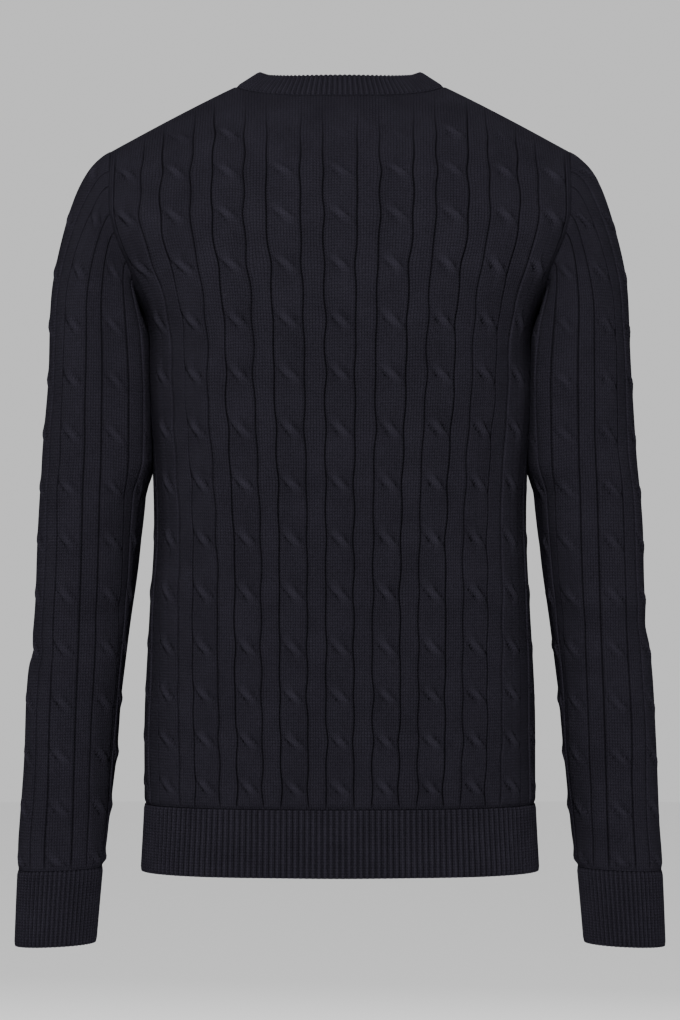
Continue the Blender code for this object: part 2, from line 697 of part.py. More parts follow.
def sleeve_keep(plain, rows, lengths):
    """The share of the relief that is kept at each point of the sleeve's grid."""
    seam = len(sleeve_lines())
    from_armhole = np.linalg.norm(plain - plain[:1], axis=2)
    keep = ease(*ARMHOLE_FADE, from_armhole) * ease(0, RIB_FADE, lengths)
    clear = plain[..., 0] - torso_side(plain[..., 1], plain[..., 2])
    beside_body = plain[..., 2] < ARMPIT_Z + 12 * MM
    facing = BUNCHED_SHARE + (1 - BUNCHED_SHARE) * ease(*FACING_FADE, clear)
    keep = keep * np.where(beside_body, facing, 1)
    spare = np.array([along(sleeve_ring(round(max(row, 0.0), 7), True))[-1] for row in rows])[:, None]
    near_seam = np.abs(np.arange(plain.shape[1]) - seam) < len(COLUMN_LINES) + 1
    keep = np.where(near_seam[None, :], keep * ease(*SEAM_ROOM, spare), keep)
    keep[:, seam] = 0
    return keep


def sleeve(side, loops):
    """One sleeve and its cuff. side is 1 for the wearer's left and -1 for the right."""
    rows = sleeve_rows()
    plain = sleeve_grid(loops, rows)
    normals = sleeve_normals(plain, rows, loops)
    steps = np.linalg.norm(np.diff(plain[::-1], axis=0), axis=2)
    lengths = np.vstack([np.cumsum(steps, axis=0)[::-1], np.zeros((1, plain.shape[1]))])
    phase = (rows[-1] - SLEEVE_FIRST - lengths) / -SLEEVE_PITCH
    strands = [strand for _, strand in sleeve_lines()]
    strands = np.array([-strand for strand in strands] + [0] + strands[:0:-1])
    rise = np.where(strands == 0, GROOVE, strand_rise(strands * side, phase))
    rise = rise * sleeve_keep(plain, rows, lengths)
    outer = plain + normals * rise[..., None]
    kept = [j for j in range(plain.shape[1]) if strands[j] == 0]
    kept_rows = sorted({*range(0, len(rows), 2), len(rows) - 1, *range(HEAD_ROWS)})
    inner = (plain - normals * WALL)[np.ix_(kept_rows, kept)]
    name = "sleeve_left" if side > 0 else "sleeve_right"
    mirror = np.array([side, 1, 1])
    wall(name, outer * mirror, rise, inner * mirror, kept_rows, kept, closed=True)


def cuff(side):
    """A rib cuff, a little tube below the sleeve."""
    at = station_distances()
    rows = [at[CUFF_STATION] + SEAM_GAP / 2, at[-1]]
    rings = []
    for row in rows:
        ring = np.vstack([sleeve_ring(row, True), sleeve_ring(row, False)[-2::-1]])
        rings.append(ring)
    ribs = int(round(along(rings[0])[-1] / BAND_RIB))
    shares = np.arange(2 * ribs) / (2 * ribs)
    plain = np.stack([walk(ring, shares * along(ring)[-1]) for ring in rings])
    middle = plain.mean(axis=1, keepdims=True)
    after = np.roll(plain, -1, axis=1) - np.roll(plain, 1, axis=1)
    down = np.broadcast_to(middle[1:] - middle[:1], plain.shape)
    normals = unit(np.cross(after, down))
    normals *= np.sign(np.sum(normals * (plain - middle), axis=2, keepdims=True))
    rise = np.tile(np.where(np.arange(2 * ribs) % 2, RIB_RISE, RIB_SINK), (2, 1))
    kept = list(range(0, 2 * ribs, 6))
    inner = (plain - normals * WALL)[:, kept]
    outer = plain + normals * rise[..., None]
    mirror = np.array([side, 1, 1])
    name = "cuff_left" if side > 0 else "cuff_right"
    wall(name, outer * mirror, rise, inner * mirror, [0, 1], kept, closed=True)


# ---------------------------------------------------------------- hem
def hem(name, front, side=1):
    """A stretch of the rib hem: all of the back, or from a front edge to the side seam."""
    x_top, distance = half_section(HEM_TOP_Z, front)
    end = distance[-1] - SEAM_GAP / 2
    start = float(np.interp(FRONT_EDGE, x_top, distance)) if front else -end
    ribs = int(round((end - start) / HEM_RIB))
    shares = np.arange(2 * ribs + 1) / (2 * ribs)
    plain = np.zeros((2, len(shares), 3))
    normals = plain.copy()
    for i, z in enumerate((HEM_BOTTOM_Z, HEM_TOP_Z - SEAM_GAP / 2)):
        x_here, distance = half_section(z, front)
        end = distance[-1] - SEAM_GAP / 2
        start = float(np.interp(FRONT_EDGE, x_here, distance)) if front else -end
        places = start + (end - start) * shares
        x = np.interp(np.abs(places), distance, x_here) * np.where(places < 0, -1, 1)
        plain[i] = torso_point(x, np.full_like(x, z), front)
        normals[i] = torso_normal(x, np.full_like(x, z), front)
    if front:
        plain[:, -1, 1] = -SEAM_GAP / 2
    else:
        plain[:, [0, -1], 1] = SEAM_GAP / 2
    rise = np.tile(np.where(np.arange(2 * ribs + 1) % 2, RIB_RISE, RIB_SINK), (2, 1))
    kept = sorted({*range(0, 2 * ribs, 8), 2 * ribs})
    inner = (plain - normals * WALL)[:, kept]
    outer = plain + normals * rise[..., None]
    mirror = np.array([side, 1, 1])
    wall(name, outer * mirror, rise, inner * mirror, [0, 1], kept)


# ---------------------------------------------------------------- bands
def band(name, roots, normals, inward, inside, ribbed_until, free_lift):
    """A rib strip sewn along a line of root points, with its ribs across it.

    inward is each root's direction across the strip, and inside says whether the panel's plain
    inside has that root too. free_lift raises the free edge off the cloth. Ribs run up to the
    distance ribbed_until; past it the strip is plain.
    """
    travelled = along(roots)
    ribbed = min(ribbed_until, travelled[-1])
    ribs = int(round(ribbed / BAND_RIB))
    places = list(ribbed * np.arange(2 * ribs + 1) / (2 * ribs)) if ribs else [0.0]
    places += [d for d in travelled if d > ribbed + MM]
    for corner in travelled[1:-1]:
        nearest = int(np.argmin(np.abs(np.array(places) - corner)))
        if 0 < nearest < len(places) - 1:
            places[nearest] = corner
    places[-1] = travelled[-1]
    places = np.array(places)

    def at(values):
        columns = [np.interp(places, travelled, column) for column in values.T]
        return np.stack(columns, axis=-1)

    out, across = unit(at(normals)), at(inward)
    root = at(roots) + across * SEAM_GAP
    free = at(roots) + across * BAND + out * at(free_lift[:, None])
    plain = np.stack([root, free])
    is_rib = (np.arange(len(places)) % 2 == 1) & (places < ribbed)
    rise = np.tile(np.where(is_rib, RIB_RISE, RIB_SINK), (2, 1))
    kept = sorted({int(np.argmin(np.abs(places - d))) for d in travelled[inside]} | {0, len(places) - 1})
    inner = (plain - out * WALL)[:, kept]
    wall(name, plain + out * rise[..., None], rise, inner, [0, 1], kept)


def across_of(points, normals, side_hint):
    """The direction across a strip at each of its root points, square to its line and its normals."""
    tangent = unit(np.gradient(points, axis=0))
    across = unit(np.cross(normals, tangent))
    return across * np.sign(np.sum(across * side_hint, axis=1, keepdims=True))


def neckband(back_plain, back_normals, lines):
    """The collar round the back neck, between the neck points of the shoulders."""
    inside = [j for j, line in enumerate(lines) if line[0] <= NECK_COLUMN + 1e-6]
    points, normals = back_plain[-1, inside].copy(), back_normals[-1, inside]
    inward = across_of(points, normals, np.array([0.0, -1.0, 0.3]) - points * (8, 0, 0))
    for end in (0, -1):
        inward[end] = unit(inward[end] * (1, 0, 1))
        points[end, 1] = SEAM_GAP / 2
    kept = np.array([lines[j][3] for j in inside])
    band("neckband", points, normals, inward, kept, WHOLE, np.zeros(len(points)))


def front_band(name, plain, normals, side):
    """A front band: up the straight front edge, then along the V to the shoulder.

    On the right band, which lies under the left one, ribs stop where the left band covers it.
    """
    lines = front_lines(side)
    on_v = [j for j, line in enumerate(lines) if j and line[0] <= NECK_COLUMN + 1e-6]
    foot_x, foot_z = np.array([side * FRONT_EDGE]), np.array([HEM_BOTTOM_Z])
    points = np.vstack([torso_point(foot_x, foot_z, True), plain[:, 0], plain[-1, on_v]])
    outward = np.vstack([torso_normal(foot_x, foot_z, True), normals[:, 0], normals[-1, on_v]])
    inside = np.array([True] + [True] * len(plain) + [lines[j][3] for j in on_v])
    keep = np.append(True, np.linalg.norm(np.diff(points, axis=0), axis=1) > SHORTEST_STEP)
    keep[[-1, len(plain)]] = True
    points, outward, inside = points[keep], outward[keep], inside[keep]
    inward = across_of(points, outward, np.array([-side, 0.0, 0.6]))
    straight = points[:, 2] < V_BOTTOM_Z - 4 * MM
    inward[straight] = (-side, 0.0, 0.0)
    inward[-1] = unit(inward[-1] * (1, 0, 1))
    points[-1, 1] = -SEAM_GAP / 2
    lapped = 1 - ease(*LAP_ENDS_Z, points[:, 2])
    ribbed_until = WHOLE
    if side < 0:
        shown = int(np.sum(points[:, 2] > V_BOTTOM_Z - 2 * MM))
        ribbed_until = along(points[::-1])[shown - 1]
    lift = side * LAP * lapped
    band(name, points[::-1], outward[::-1], inward[::-1], inside[::-1], ribbed_until, lift[::-1])


def button(number):
    """A round button with a raised rim, lying on the left band."""
    z = BUTTON_TOP_Z - (number - 1) * BUTTON_STEP
    lying_on = LAP / 2 + RIB_RISE + SEAM_GAP
    place = torso_point(np.array(0.0), np.array(z), True)
    out = torso_normal(np.array(1e-6), np.array(z), True)
    out = unit(np.array([LAP / BAND, out[1], out[2]]))  # the band slopes down from its free edge
    up = unit(np.cross(out, (-1.0, 0.0, 0.0)))
    sideways = np.cross(up, out)
    turn = 2 * math.pi * np.arange(BUTTON_SIDES) / BUTTON_SIDES
    points = [
        place + out * (lying_on + ring.height * BUTTON_THICK)
        + BUTTON_RADIUS * ring.radius * (math.cos(t) * sideways + math.sin(t) * up)
        for ring in BUTTON_RINGS
        for t in turn
    ]
    faces = []
    for level in range(len(BUTTON_RINGS) - 1):
        for k in range(BUTTON_SIDES):
            a, b = level * BUTTON_SIDES + k, level * BUTTON_SIDES + (k + 1) % BUTTON_SIDES
            faces.append((a, b, b + BUTTON_SIDES, a + BUTTON_SIDES))
    faces.append(tuple(reversed(range(BUTTON_SIDES))))
    faces.append(tuple(range(len(points) - BUTTON_SIDES, len(points))))
    add_object(f"button_{number}", np.array(points), faces, BUTTON_NAVY, "button")


def main():
    for old in list(bpy.data.objects):
        bpy.data.objects.remove(old, do_unlink=True)
    back_plain, back_normals = panel("back", False, back_lines())
    left_plain, left_normals = panel("front_left", True, front_lines(1))
    right_plain, right_normals = panel("front_right", True, front_lines(-1))
    hem("hem_back", False)
    hem("hem_front_left", True)
    hem("hem_front_right", True, -1)
    loops = armhole_loop((back_plain, back_normals), (left_plain, left_normals))
    for side in (1, -1):
        sleeve(side, loops)
        cuff(side)
    neckband(back_plain, back_normals, back_lines())
    front_band("band_left", left_plain, left_normals, 1)
    front_band("band_right", right_plain, right_normals, -1)
    for number in range(1, BUTTON_COUNT + 1):
        button(number)


main()
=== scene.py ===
"""A cable knit cardigan in its worn, hollow form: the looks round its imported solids.

Frame: metres, +Z up, +X the wearer's left, -Y out of the buttoned front. A place on the body is given
by its knit column and its height. Columns are counted from 0 at the centre of the back or front to
5.5 at the side seam; every whole number is the middle of a cable.
"""

import logging
import math
from dataclasses import dataclass, field
from enum import Enum
from typing import Any, Union

import bpy
import numpy as np
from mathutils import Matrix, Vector

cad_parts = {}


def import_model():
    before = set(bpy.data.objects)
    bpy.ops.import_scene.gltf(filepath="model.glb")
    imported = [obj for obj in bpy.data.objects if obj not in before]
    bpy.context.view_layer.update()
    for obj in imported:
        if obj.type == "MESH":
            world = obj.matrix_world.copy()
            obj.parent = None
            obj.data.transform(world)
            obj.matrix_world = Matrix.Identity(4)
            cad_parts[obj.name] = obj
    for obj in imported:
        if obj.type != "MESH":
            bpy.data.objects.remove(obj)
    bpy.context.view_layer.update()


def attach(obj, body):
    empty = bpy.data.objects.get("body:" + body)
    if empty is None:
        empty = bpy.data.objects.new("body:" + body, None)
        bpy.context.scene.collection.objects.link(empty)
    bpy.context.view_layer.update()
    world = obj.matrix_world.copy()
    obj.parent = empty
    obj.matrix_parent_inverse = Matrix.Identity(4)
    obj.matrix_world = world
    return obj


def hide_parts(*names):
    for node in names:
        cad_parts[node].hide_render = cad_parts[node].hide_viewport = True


LOG = logging.getLogger("cardigan")
MM = 0.001
BODY = "root"
NO_THREAD = (0.05, -1.0, 0.1)  # a direction that no thread runs along
Array = np.ndarray
Colour = tuple[float, float, float, float]


class Half(Enum):
    """The half of the body a piece is on; its value is the sign of Y."""

    BACK = 1
    FRONT = -1


class Side(Enum):
    """The wearer's left or right; its value is the sign of X."""

    LEFT = 1
    RIGHT = -1

    @property
    def word(self) -> str:
        """The side's name in a node's name."""
        return self.name.lower()


class Slot(Enum):
    """Material slots of the pieces."""

    CABLE = "cable_knit"
    RIB = "rib_knit"
    BUTTONS = "buttons"


# ---------------------------------------------------------------- curves and vectors
def ease(low: float, high: float, value: Array) -> Array:
    """A soft step: 0 below low, 1 above high, 3t^2 - 2t^3 between.

    Args:
        low: where the step starts.
        high: where it ends.
        value: the places asked for.

    Returns:
        The step's height at each place.
    """
    t = np.clip((value - low) / (high - low), 0, 1)
    return t * t * (3 - 2 * t)


def hump(value: Array, width: float) -> Array:
    """A bell of height 1: e to the minus (value / width) squared."""
    return np.exp(-((value / width) ** 2))


def uneven_share(first: Array, second: Array) -> Array:
    """A share from 0 to 1 that looks random: the fraction of a large multiple of a sine of both."""
    return np.abs(np.sin(first * 12.9898 + second * 78.233) * 437.585) % 1.0


def unit(vectors: Array) -> Array:
    """Each vector at length 1."""
    return vectors / np.maximum(np.linalg.norm(vectors, axis=-1, keepdims=True), 1e-12)


def smooth(knots: Array, values: Array, at: Array) -> Array:
    """A cubic curve through the points (knots, values), whose slope at each is its neighbours'.

    Args:
        knots: rising places.
        values: the curve's height at each.
        at: the places asked for.

    Returns:
        The curve's height at each place asked for.
    """
    slopes = np.gradient(values, knots)
    k = np.clip(np.searchsorted(knots, at) - 1, 0, len(knots) - 2)
    width = knots[k + 1] - knots[k]
    t = np.clip((at - knots[k]) / width, 0, 1)
    rise = values[k + 1] - values[k]
    start, end = slopes[k] * width, slopes[k + 1] * width
    return values[k] + t * start + t**2 * (3 * rise - 2 * start - end) + t**3 * (start + end - 2 * rise)


def travelled(points: Array, axis: int = -2) -> Array:
    """Distance along a line of points from its first one, for one line or for many side by side.

    Args:
        points: coordinates, with the last axis x, y and z.
        axis: the axis that runs along the line.

    Returns:
        Distances, with the shape of points less its last axis.
    """
    steps = np.linalg.norm(np.diff(points, axis=axis), axis=-1)
    total = np.cumsum(steps, axis=axis + 1)
    first = np.zeros_like(np.take(total, [0], axis=axis + 1))
    return np.concatenate([first, total], axis=axis + 1)


def read_lines(at: Array, knots: Array, values: Array) -> Array:
    """Reads many lines at once: each row of values over its own knots, which lie from 0 to 1.

    Row i is moved to the stretch from 2i to 2i + 1, so that one interpolation reads every row.

    Args:
        at: places from 0 to 1, one row for each line.
        knots: rising places from 0 to 1, one row for each line.
        values: the lines' values at the knots, with a last axis of coordinates.

    Returns:
        The values at the places.
    """
    shift = 2.0 * np.arange(len(knots))[:, None]
    place = (np.clip(at, 0, 1) + shift).ravel()
    along = (knots + shift).ravel()
    read = [np.interp(place, along, column.ravel()) for column in np.moveaxis(values, -1, 0)]
    return np.stack(read, axis=-1).reshape(*at.shape, values.shape[-1])


def blurred(values: Array, steps: int) -> Array:
    """A line of vectors, each the mean of those up to so many steps away, with its ends held."""
    padded = np.pad(values, ((steps, steps), (0, 0)), mode="edge")
    window = np.ones(2 * steps + 1) / (2 * steps + 1)
    return np.stack([np.convolve(column, window, mode="valid") for column in padded.T], axis=-1)


def grid_normals(points: Array, centre: Array | tuple[float, float, float]) -> Array:
    """Outward directions of a grid of points: the cross product of its two slopes.

    Args:
        points: the grid.
        centre: a point, or a grid of points, that the surface faces away from.

    Returns:
        Unit vectors on the grid.
    """
    across, down = np.gradient(points, axis=1), np.gradient(points, axis=0)
    normals = unit(np.cross(across, down))
    return normals * np.sign(np.sum(normals * (points - np.array(centre))))


# ---------------------------------------------------------------- the body
@dataclass(frozen=True)
class Girth:
    """The body's section at one height, in mm."""

    height: float
    half_width: float
    back_depth: float
    front_depth: float


@dataclass(frozen=True)
class ArmholeWidth:
    """How far from the centre the armhole's edge lies at one height, in mm."""

    height: float
    half_width: float


@dataclass
class BodyForm:
    """The plain surface of the body: rounded sections under an arch from the armpit to the shoulder."""

    girths: tuple[Girth, ...] = (
        Girth(-661, 168.5, 86, 92),
        Girth(-604, 165.5, 86, 92),
        Girth(-520, 165.0, 92, 97),
        Girth(-440, 160.5, 100, 103),
        Girth(-384, 157.5, 106, 107),
        Girth(-330, 158.5, 112, 112),
        Girth(-260, 163.5, 120, 118),
        Girth(-190, 168.0, 125, 122),
        Girth(-150, 190.0, 125, 122),
        Girth(-103, 217.0, 125, 122),
        Girth(-60, 222.0, 125, 122),
        Girth(40, 222.0, 125, 122),
    )
    armhole: tuple[ArmholeWidth, ...] = (
        ArmholeWidth(-190, 168.0),
        ArmholeWidth(-183, 170.0),
        ArmholeWidth(-172, 172.0),
        ArmholeWidth(-156, 175.5),
        ArmholeWidth(-129, 187.0),
        ArmholeWidth(-103, 194.0),
    )
    armpit: float = -190 * MM
    yoke: float = -103 * MM  # above it, columns run straight to the shoulder or the neck
    hem_top: float = -604 * MM
    hem_bottom: float = -661 * MM
    side: float = 5.5  # the side seam's column
    section_power: float = 2.3
    arch_power: float = 1.67
    ridge_top: float = 31.5 * MM
    ridge_fall: float = 0.5687
    ridge_round: float = 60 * MM
    yoke_column: float = 47 * MM
    neck_column: float = 1.88
    neck_half: float = 88.5 * MM
    neck_depth: float = 58 * MM
    shoulder_fall: float = 0.89
    armhole_fixed: float = 4.3  # columns beyond this one bunch up beside the armhole
    front_edge: float = 12 * MM
    v_bottom: float = -215 * MM
    v_fan: float = -244 * MM
    v_curve: float = 0.92
    seam: float = 0.3 * MM
    half_gap: float = 0.02 * MM  # half the gap where front meets back, too narrow to see through
    levels: int = 300
    turns: int = 181

    def __post_init__(self) -> None:
        """Measures each section once, so that a column can be found at any height."""
        rows = [[g.height, g.half_width, g.back_depth, g.front_depth] for g in self.girths]
        table = np.array(rows).T * MM
        self._heights, self._widths = table[0], table[1]
        self._depths = {Half.BACK: table[2], Half.FRONT: table[3]}
        self._level = np.linspace(self.hem_bottom - 2 * MM, self.yoke, self.levels)
        turn = np.linspace(0, math.pi / 2, self.turns)
        self._total, self._turn = {}, {}
        for half in Half:
            z = np.broadcast_to(self._level[:, None], (self.levels, self.turns))
            length = travelled(self.point(np.broadcast_to(turn, z.shape), z, half))
            self._total[half] = length[:, -1]
            share = length / length[:, -1:]
            even = np.broadcast_to(np.linspace(0, 1, self.turns), share.shape)
            turns = np.broadcast_to(turn[:, None], (self.levels, self.turns, 1))
            self._turn[half] = read_lines(even, share, turns)[..., 0]

    def half_width(self, z: Array) -> Array:
        """Distance from the centre to the side at a height."""
        return smooth(self._heights, self._widths, z)

    def depth(self, z: Array, half: Half) -> Array:
        """Depth of the back or the front half at a height, before the arch."""
        return smooth(self._heights, self._depths[half], np.minimum(z, self.armpit))

    def ridge(self, x: Array) -> Array:
        """Height of the shoulder ridge: a hyperbola that falls away from the centre."""
        return self.ridge_top - self.ridge_fall * (np.sqrt(x**2 + self.ridge_round**2) - self.ridge_round)

    def point(self, turn: Array, z: Array, half: Half) -> Array:
        """A point of the body's plain surface.

        x is the half width times the sine of the turn. y is what a rounded section leaves there, times
        what the arch between armpit and ridge leaves at that height.

        Args:
            turn: angle round the section, 0 at the centre and a quarter turn at the side.
            z: height.
            half: back or front.

        Returns:
            Coordinates on a last axis.
        """
        sine = np.sin(turn)
        x = self.half_width(z) * sine
        section = (1 - np.abs(sine) ** self.section_power) ** (1 / self.section_power)
        up = np.clip((z - self.armpit) / (self.ridge(x) - self.armpit), 0, 1)
        arch = (1 - up**self.arch_power) ** (1 / self.arch_power)
        y = half.value * self.depth(z, half) * section * arch
        return np.stack(np.broadcast_arrays(x, y, z), axis=-1)

    def section_length(self, z: Array, half: Half) -> Array:
        """Distance over the surface from the centre to the side seam at a height."""
        return np.interp(z, self._level, self._total[half])

    def column_width(self, z: Array, half: Half) -> Array:
        """Width of one knit column at a height below the yoke."""
        side_width = self.section_length(np.minimum(z, self.armpit), half) / self.side
        return side_width + (self.yoke_column - side_width) * ease(self.armpit, self.yoke, z)

    def turn_at(self, distance: Array, z: Array, half: Half) -> Array:
        """The turn at a distance over the surface from the centre, at a height below the yoke."""
        level = np.clip((z - self._level[0]) / (self._level[1] - self._level[0]), 0, self.levels - 1.001)
        share = np.clip(distance / self.section_length(z, half), 0, 1) * (self.turns - 1)
        i, j = level.astype(int), np.minimum(share.astype(int), self.turns - 2)
        up, on = level - i, share - j
        table = self._turn[half]
        low = table[i, j] * (1 - on) + table[i, j + 1] * on
        high = table[i + 1, j] * (1 - on) + table[i + 1, j + 1] * on
        return low * (1 - up) + high * up

    def top(self, column: Array) -> Array:
        """Height where a column ends: at the shoulder seam, or at the back neckline inside the neck point."""
        past = np.maximum(column - self.neck_column, 0)
        x = self.neck_half * np.minimum(column / self.neck_column, 1)
        x = x + self.yoke_column * self.shoulder_fall * past
        behind = self.neck_depth * np.sqrt(np.maximum(1 - (x / self.neck_half) ** 2, 0))
        wide = self.half_width(np.array(0.0))
        section = np.maximum(1 - (x / wide) ** self.section_power, 1e-6) ** (1 / self.section_power)
        share = np.minimum(behind / (self.depth(np.array(0.0), Half.BACK) * section), 1)
        left = (1 - share**self.arch_power) ** (1 / self.arch_power)
        return self.armpit + (self.ridge(x) - self.armpit) * left

    def neckline(self, column: Array) -> Array:
        """Height where a front column ends: on the V inside the neck point, at the shoulder past it."""
        first = self.front_edge / self.yoke_column
        share = np.clip((column - first) / (self.neck_column - first), 0, 1) ** (1 / self.v_curve)
        neck_point = self.top(np.array(self.neck_column))
        on_v = self.v_bottom + (neck_point - self.v_bottom) * share
        return np.where(column < self.neck_column, on_v, self.top(np.maximum(column, self.neck_column)))

    def turn_of(self, column: Array, z: Array, half: Half) -> Array:
        """The signed turn of a knit column at a height.

        Below the yoke a column is so many widths from the centre over the surface. Above it a column
        runs straight, seen from behind, to its place on the shoulder or the neckline.
        """
        size = np.abs(column)
        low_z = np.minimum(z, self.yoke)
        low = self.turn_at(size * self.column_width(low_z, half), low_z, half)
        x_low = self.half_width(low_z) * np.sin(low)
        past = np.maximum(size - self.neck_column, 0)
        x_high = self.neck_half * np.minimum(size / self.neck_column, 1)
        x_high = x_high + self.yoke_column * self.shoulder_fall * past
        share = np.clip((z - self.yoke) / (self.top(size) - self.yoke), 0, 1)
        x = x_low + (x_high - x_low) * share
        high = np.arcsin(np.clip(x / self.half_width(z), 0, 1))
        return np.sign(column) * np.where(z <= self.yoke, low, high)

    def armhole_column(self, z: Array, half: Half) -> Array:
        """The column on which the side seam or the armhole's edge lies at a height."""
        level = np.minimum(z, self.yoke)
        table = np.array([[a.height, a.half_width] for a in self.armhole]).T * MM
        edge = smooth(table[0], table[1], level)
        turn = np.arcsin(np.clip(edge / self.half_width(level), 0, 1))
        fine = np.linspace(0, 1, self.turns)
        height = np.broadcast_to(level[..., None], (*level.shape, self.turns))
        line = self.point(fine * turn[..., None], height, half)
        above = travelled(line)[..., -1] / self.column_width(level, half)
        return np.where(z <= self.armpit, self.side, np.minimum(above, self.side))

    def side_x(self, y: Array, z: Array) -> Array:
        """Distance from the centre to the body's side, in front of or behind its seam."""
        deep = np.where(y < 0, self.depth(z, Half.FRONT), self.depth(z, Half.BACK))
        share = np.clip(np.abs(y) / deep, 0, 1)
        section = (1 - share**self.section_power) ** (1 / self.section_power)
        return self.half_width(np.minimum(z, self.armpit)) * section


# ---------------------------------------------------------------- the knit's relief
@dataclass(frozen=True)
class CableStitch:
    """Relief of one column of knit: a two-strand cable, a purl groove on each side, a plain panel.

    Sizes across are in columns, and sizes along are in crossings. A point's offset is its distance
    from the cable's middle, positive towards the outside viewer's left.
    """

    plateau: float = 1.9 * MM  # height of the cable between its crossings
    panel: float = 0.55 * MM  # height of the plain panel
    groove: float = -1.6 * MM
    groove_at: float = 0.305
    groove_width: float = 0.015
    edge: float = 0.285  # where the cable's flat top ends
    reach: float = 0.135  # half the distance between the strands' middles, away from a crossing
    strand: float = 0.135  # half a strand's width
    short: float = 0.16  # half the length of a crossing
    over: float = 1.9 * MM  # how far the upper strand stands above the plateau
    under: float = 2.7 * MM  # how deep the creases beside it are
    crease_width: float = 0.024
    pinch: float = 0.027  # how far a crossing draws the cable's edges in
    pinch_reach: float = 0.27  # over this share of the way to the next crossing
    wales: float = 19.0  # stitches in a column
    drawn_in: tuple[float, float] = (0.04, 0.28)  # a crossing draws in more over this stretch
    drawn_out: tuple[float, float] = (0.33, 0.5)  # and less over this one
    drawn_by: tuple[float, float] = (0.25, 1.5)  # each by this much, and up to so much more
    snap: float = 0.012  # grid lines nearer than this to an end are left out
    swap_reach: float = 1.15  # strands change sides within this many half crossings of its middle
    dome: float = 0.14  # how much lower the cable is at its edges
    strand_square: float = 2.6  # 2 makes a strand round, more makes it flat
    crease_at: float = 1.08  # in half strands from the strand's middle
    valley: float = 0.35 * MM  # between the two strands
    valley_width: float = 0.02
    lines: tuple[float, ...] = (
        0.0, 0.042, 0.084, 0.126, 0.168, 0.21, 0.25, 0.277, 0.292, 0.305, 0.318, 0.335, 0.385, 0.44,
    )

    def columns(self, first: float, last: float) -> Array:
        """The grid lines of a stretch of knit: close together at the grooves, wider elsewhere.

        Args:
            first: the column where the stretch starts.
            last: the column where it ends.

        Returns:
            Rising columns, with both ends.
        """
        whole = np.arange(math.floor(first) - 1, math.ceil(last) + 2)
        offsets = np.array([-line for line in self.lines[:0:-1]] + list(self.lines) + [0.5])
        every = np.unique(np.round((whole[:, None] + offsets).ravel(), 6))
        inside = every[(every > first + self.snap) & (every < last - self.snap)]
        return np.concatenate([[first], inside, [last]])

    def near_crossing(self, phase: Array) -> Array:
        """1 at a crossing and 0 halfway between two."""
        return hump(phase - np.round(phase), self.short)

    def swapped(self, phase: Array) -> Array:
        """The upper strand's place: 1 at the viewer's left above a crossing, -1 at the right below."""
        reach = self.short * self.swap_reach
        return 2 * ease(-reach, reach, phase - np.round(phase)) - 1

    def draw_in(self, cable: Array, offset: Array, phase: Array) -> Array:
        """How far the stitches are drawn to the cable's middle, in columns: most at its edges.

        Each crossing on each side of each cable draws them in by its own amount.

        Args:
            cable: the cable's number.
            offset: distance from the cable's middle in columns, from -0.5 to 0.5.
            phase: how many crossings lie below, with a fraction.

        Returns:
            The move towards higher offsets, in columns.
        """
        size, side = np.abs(offset), np.sign(offset)
        window = ease(*self.drawn_in, size) * (1 - ease(*self.drawn_out, size))
        own = self.drawn_by[0] + self.drawn_by[1] * uneven_share(cable * 2.3 + side * 0.9, np.round(phase))
        return -side * self.pinch * own * window * hump(phase - np.round(phase), self.pinch_reach)

    def rise(self, offset: Array, phase: Array) -> Array:
        """Height of the knit over its plain surface.

        A flat-topped ridge, less a narrow bell at each groove, plus a diagonal strand over each
        crossing with a crease along each of its edges.

        Args:
            offset: distance from the cable's middle in columns, from -0.5 to 0.5.
            phase: how many crossings lie below, with a fraction.

        Returns:
            The height in metres.
        """
        size, near = np.abs(offset), self.near_crossing(phase)
        on_cable = 1 - ease(self.edge - 0.012, self.groove_at + 0.004, size)
        domed = 1 - self.dome * np.minimum(size / self.edge, 1) ** 2
        height = self.panel + (self.plateau * domed - self.panel) * on_cable
        groove = hump(size - self.groove_at, self.groove_width)
        height = height + (self.groove - self.panel) * groove
        from_strand = offset - self.reach * self.swapped(phase)
        strand = np.clip(1 - np.abs(from_strand / self.strand) ** self.strand_square, 0, 1)
        crease = hump(np.abs(from_strand) - self.strand * self.crease_at, self.crease_width)
        crossing = near * on_cable * (self.over * strand - self.under * crease)
        valley = self.valley * hump(offset, self.valley_width) * (1 - near) * on_cable
        return height + crossing - valley


@dataclass(frozen=True)
class RibStitch:
    """Relief of a rib: round knit ridges with narrow purl valleys between them."""

    pitch: float
    rise_by: float = 0.95 * MM
    sink_by: float = 0.35 * MM
    sharpness: float = 3.0
    samples: int = 8

    def count(self, length: float) -> int:
        """How many whole ribs fill a length."""
        return max(int(round(length / self.pitch)), 1)

    def rise(self, ribs: Array) -> Array:
        """Height at a place counted in ribs, with a valley at each whole number.

        The valley is the cosine of half a turn per rib, raised to a power that narrows it.
        """
        valley = np.abs(np.cos(math.pi * ribs)) ** self.sharpness
        return self.rise_by - (self.rise_by + self.sink_by) * valley


@dataclass(frozen=True)
class Crossings:
    """Height of each row of cable crossings on the body, in mm, seen at the centre back."""

    heights: tuple[float, ...] = (
        -586, -547, -509, -469, -424, -379, -333, -288, -243, -199, -153, -111, -74, -41,
    )

    def phase(self, z: Array) -> Array:
        """How many crossings lie below a height, with a fraction; past the ends it runs on evenly."""
        rows = np.array(self.heights) * MM
        below = (z - rows[0]) / (rows[1] - rows[0])
        above = len(rows) - 1 + (z - rows[-1]) / (rows[-1] - rows[-2])
        inside = np.interp(z, rows, np.arange(len(rows)))
        return np.where(z < rows[0], below, np.where(z > rows[-1], above, inside))


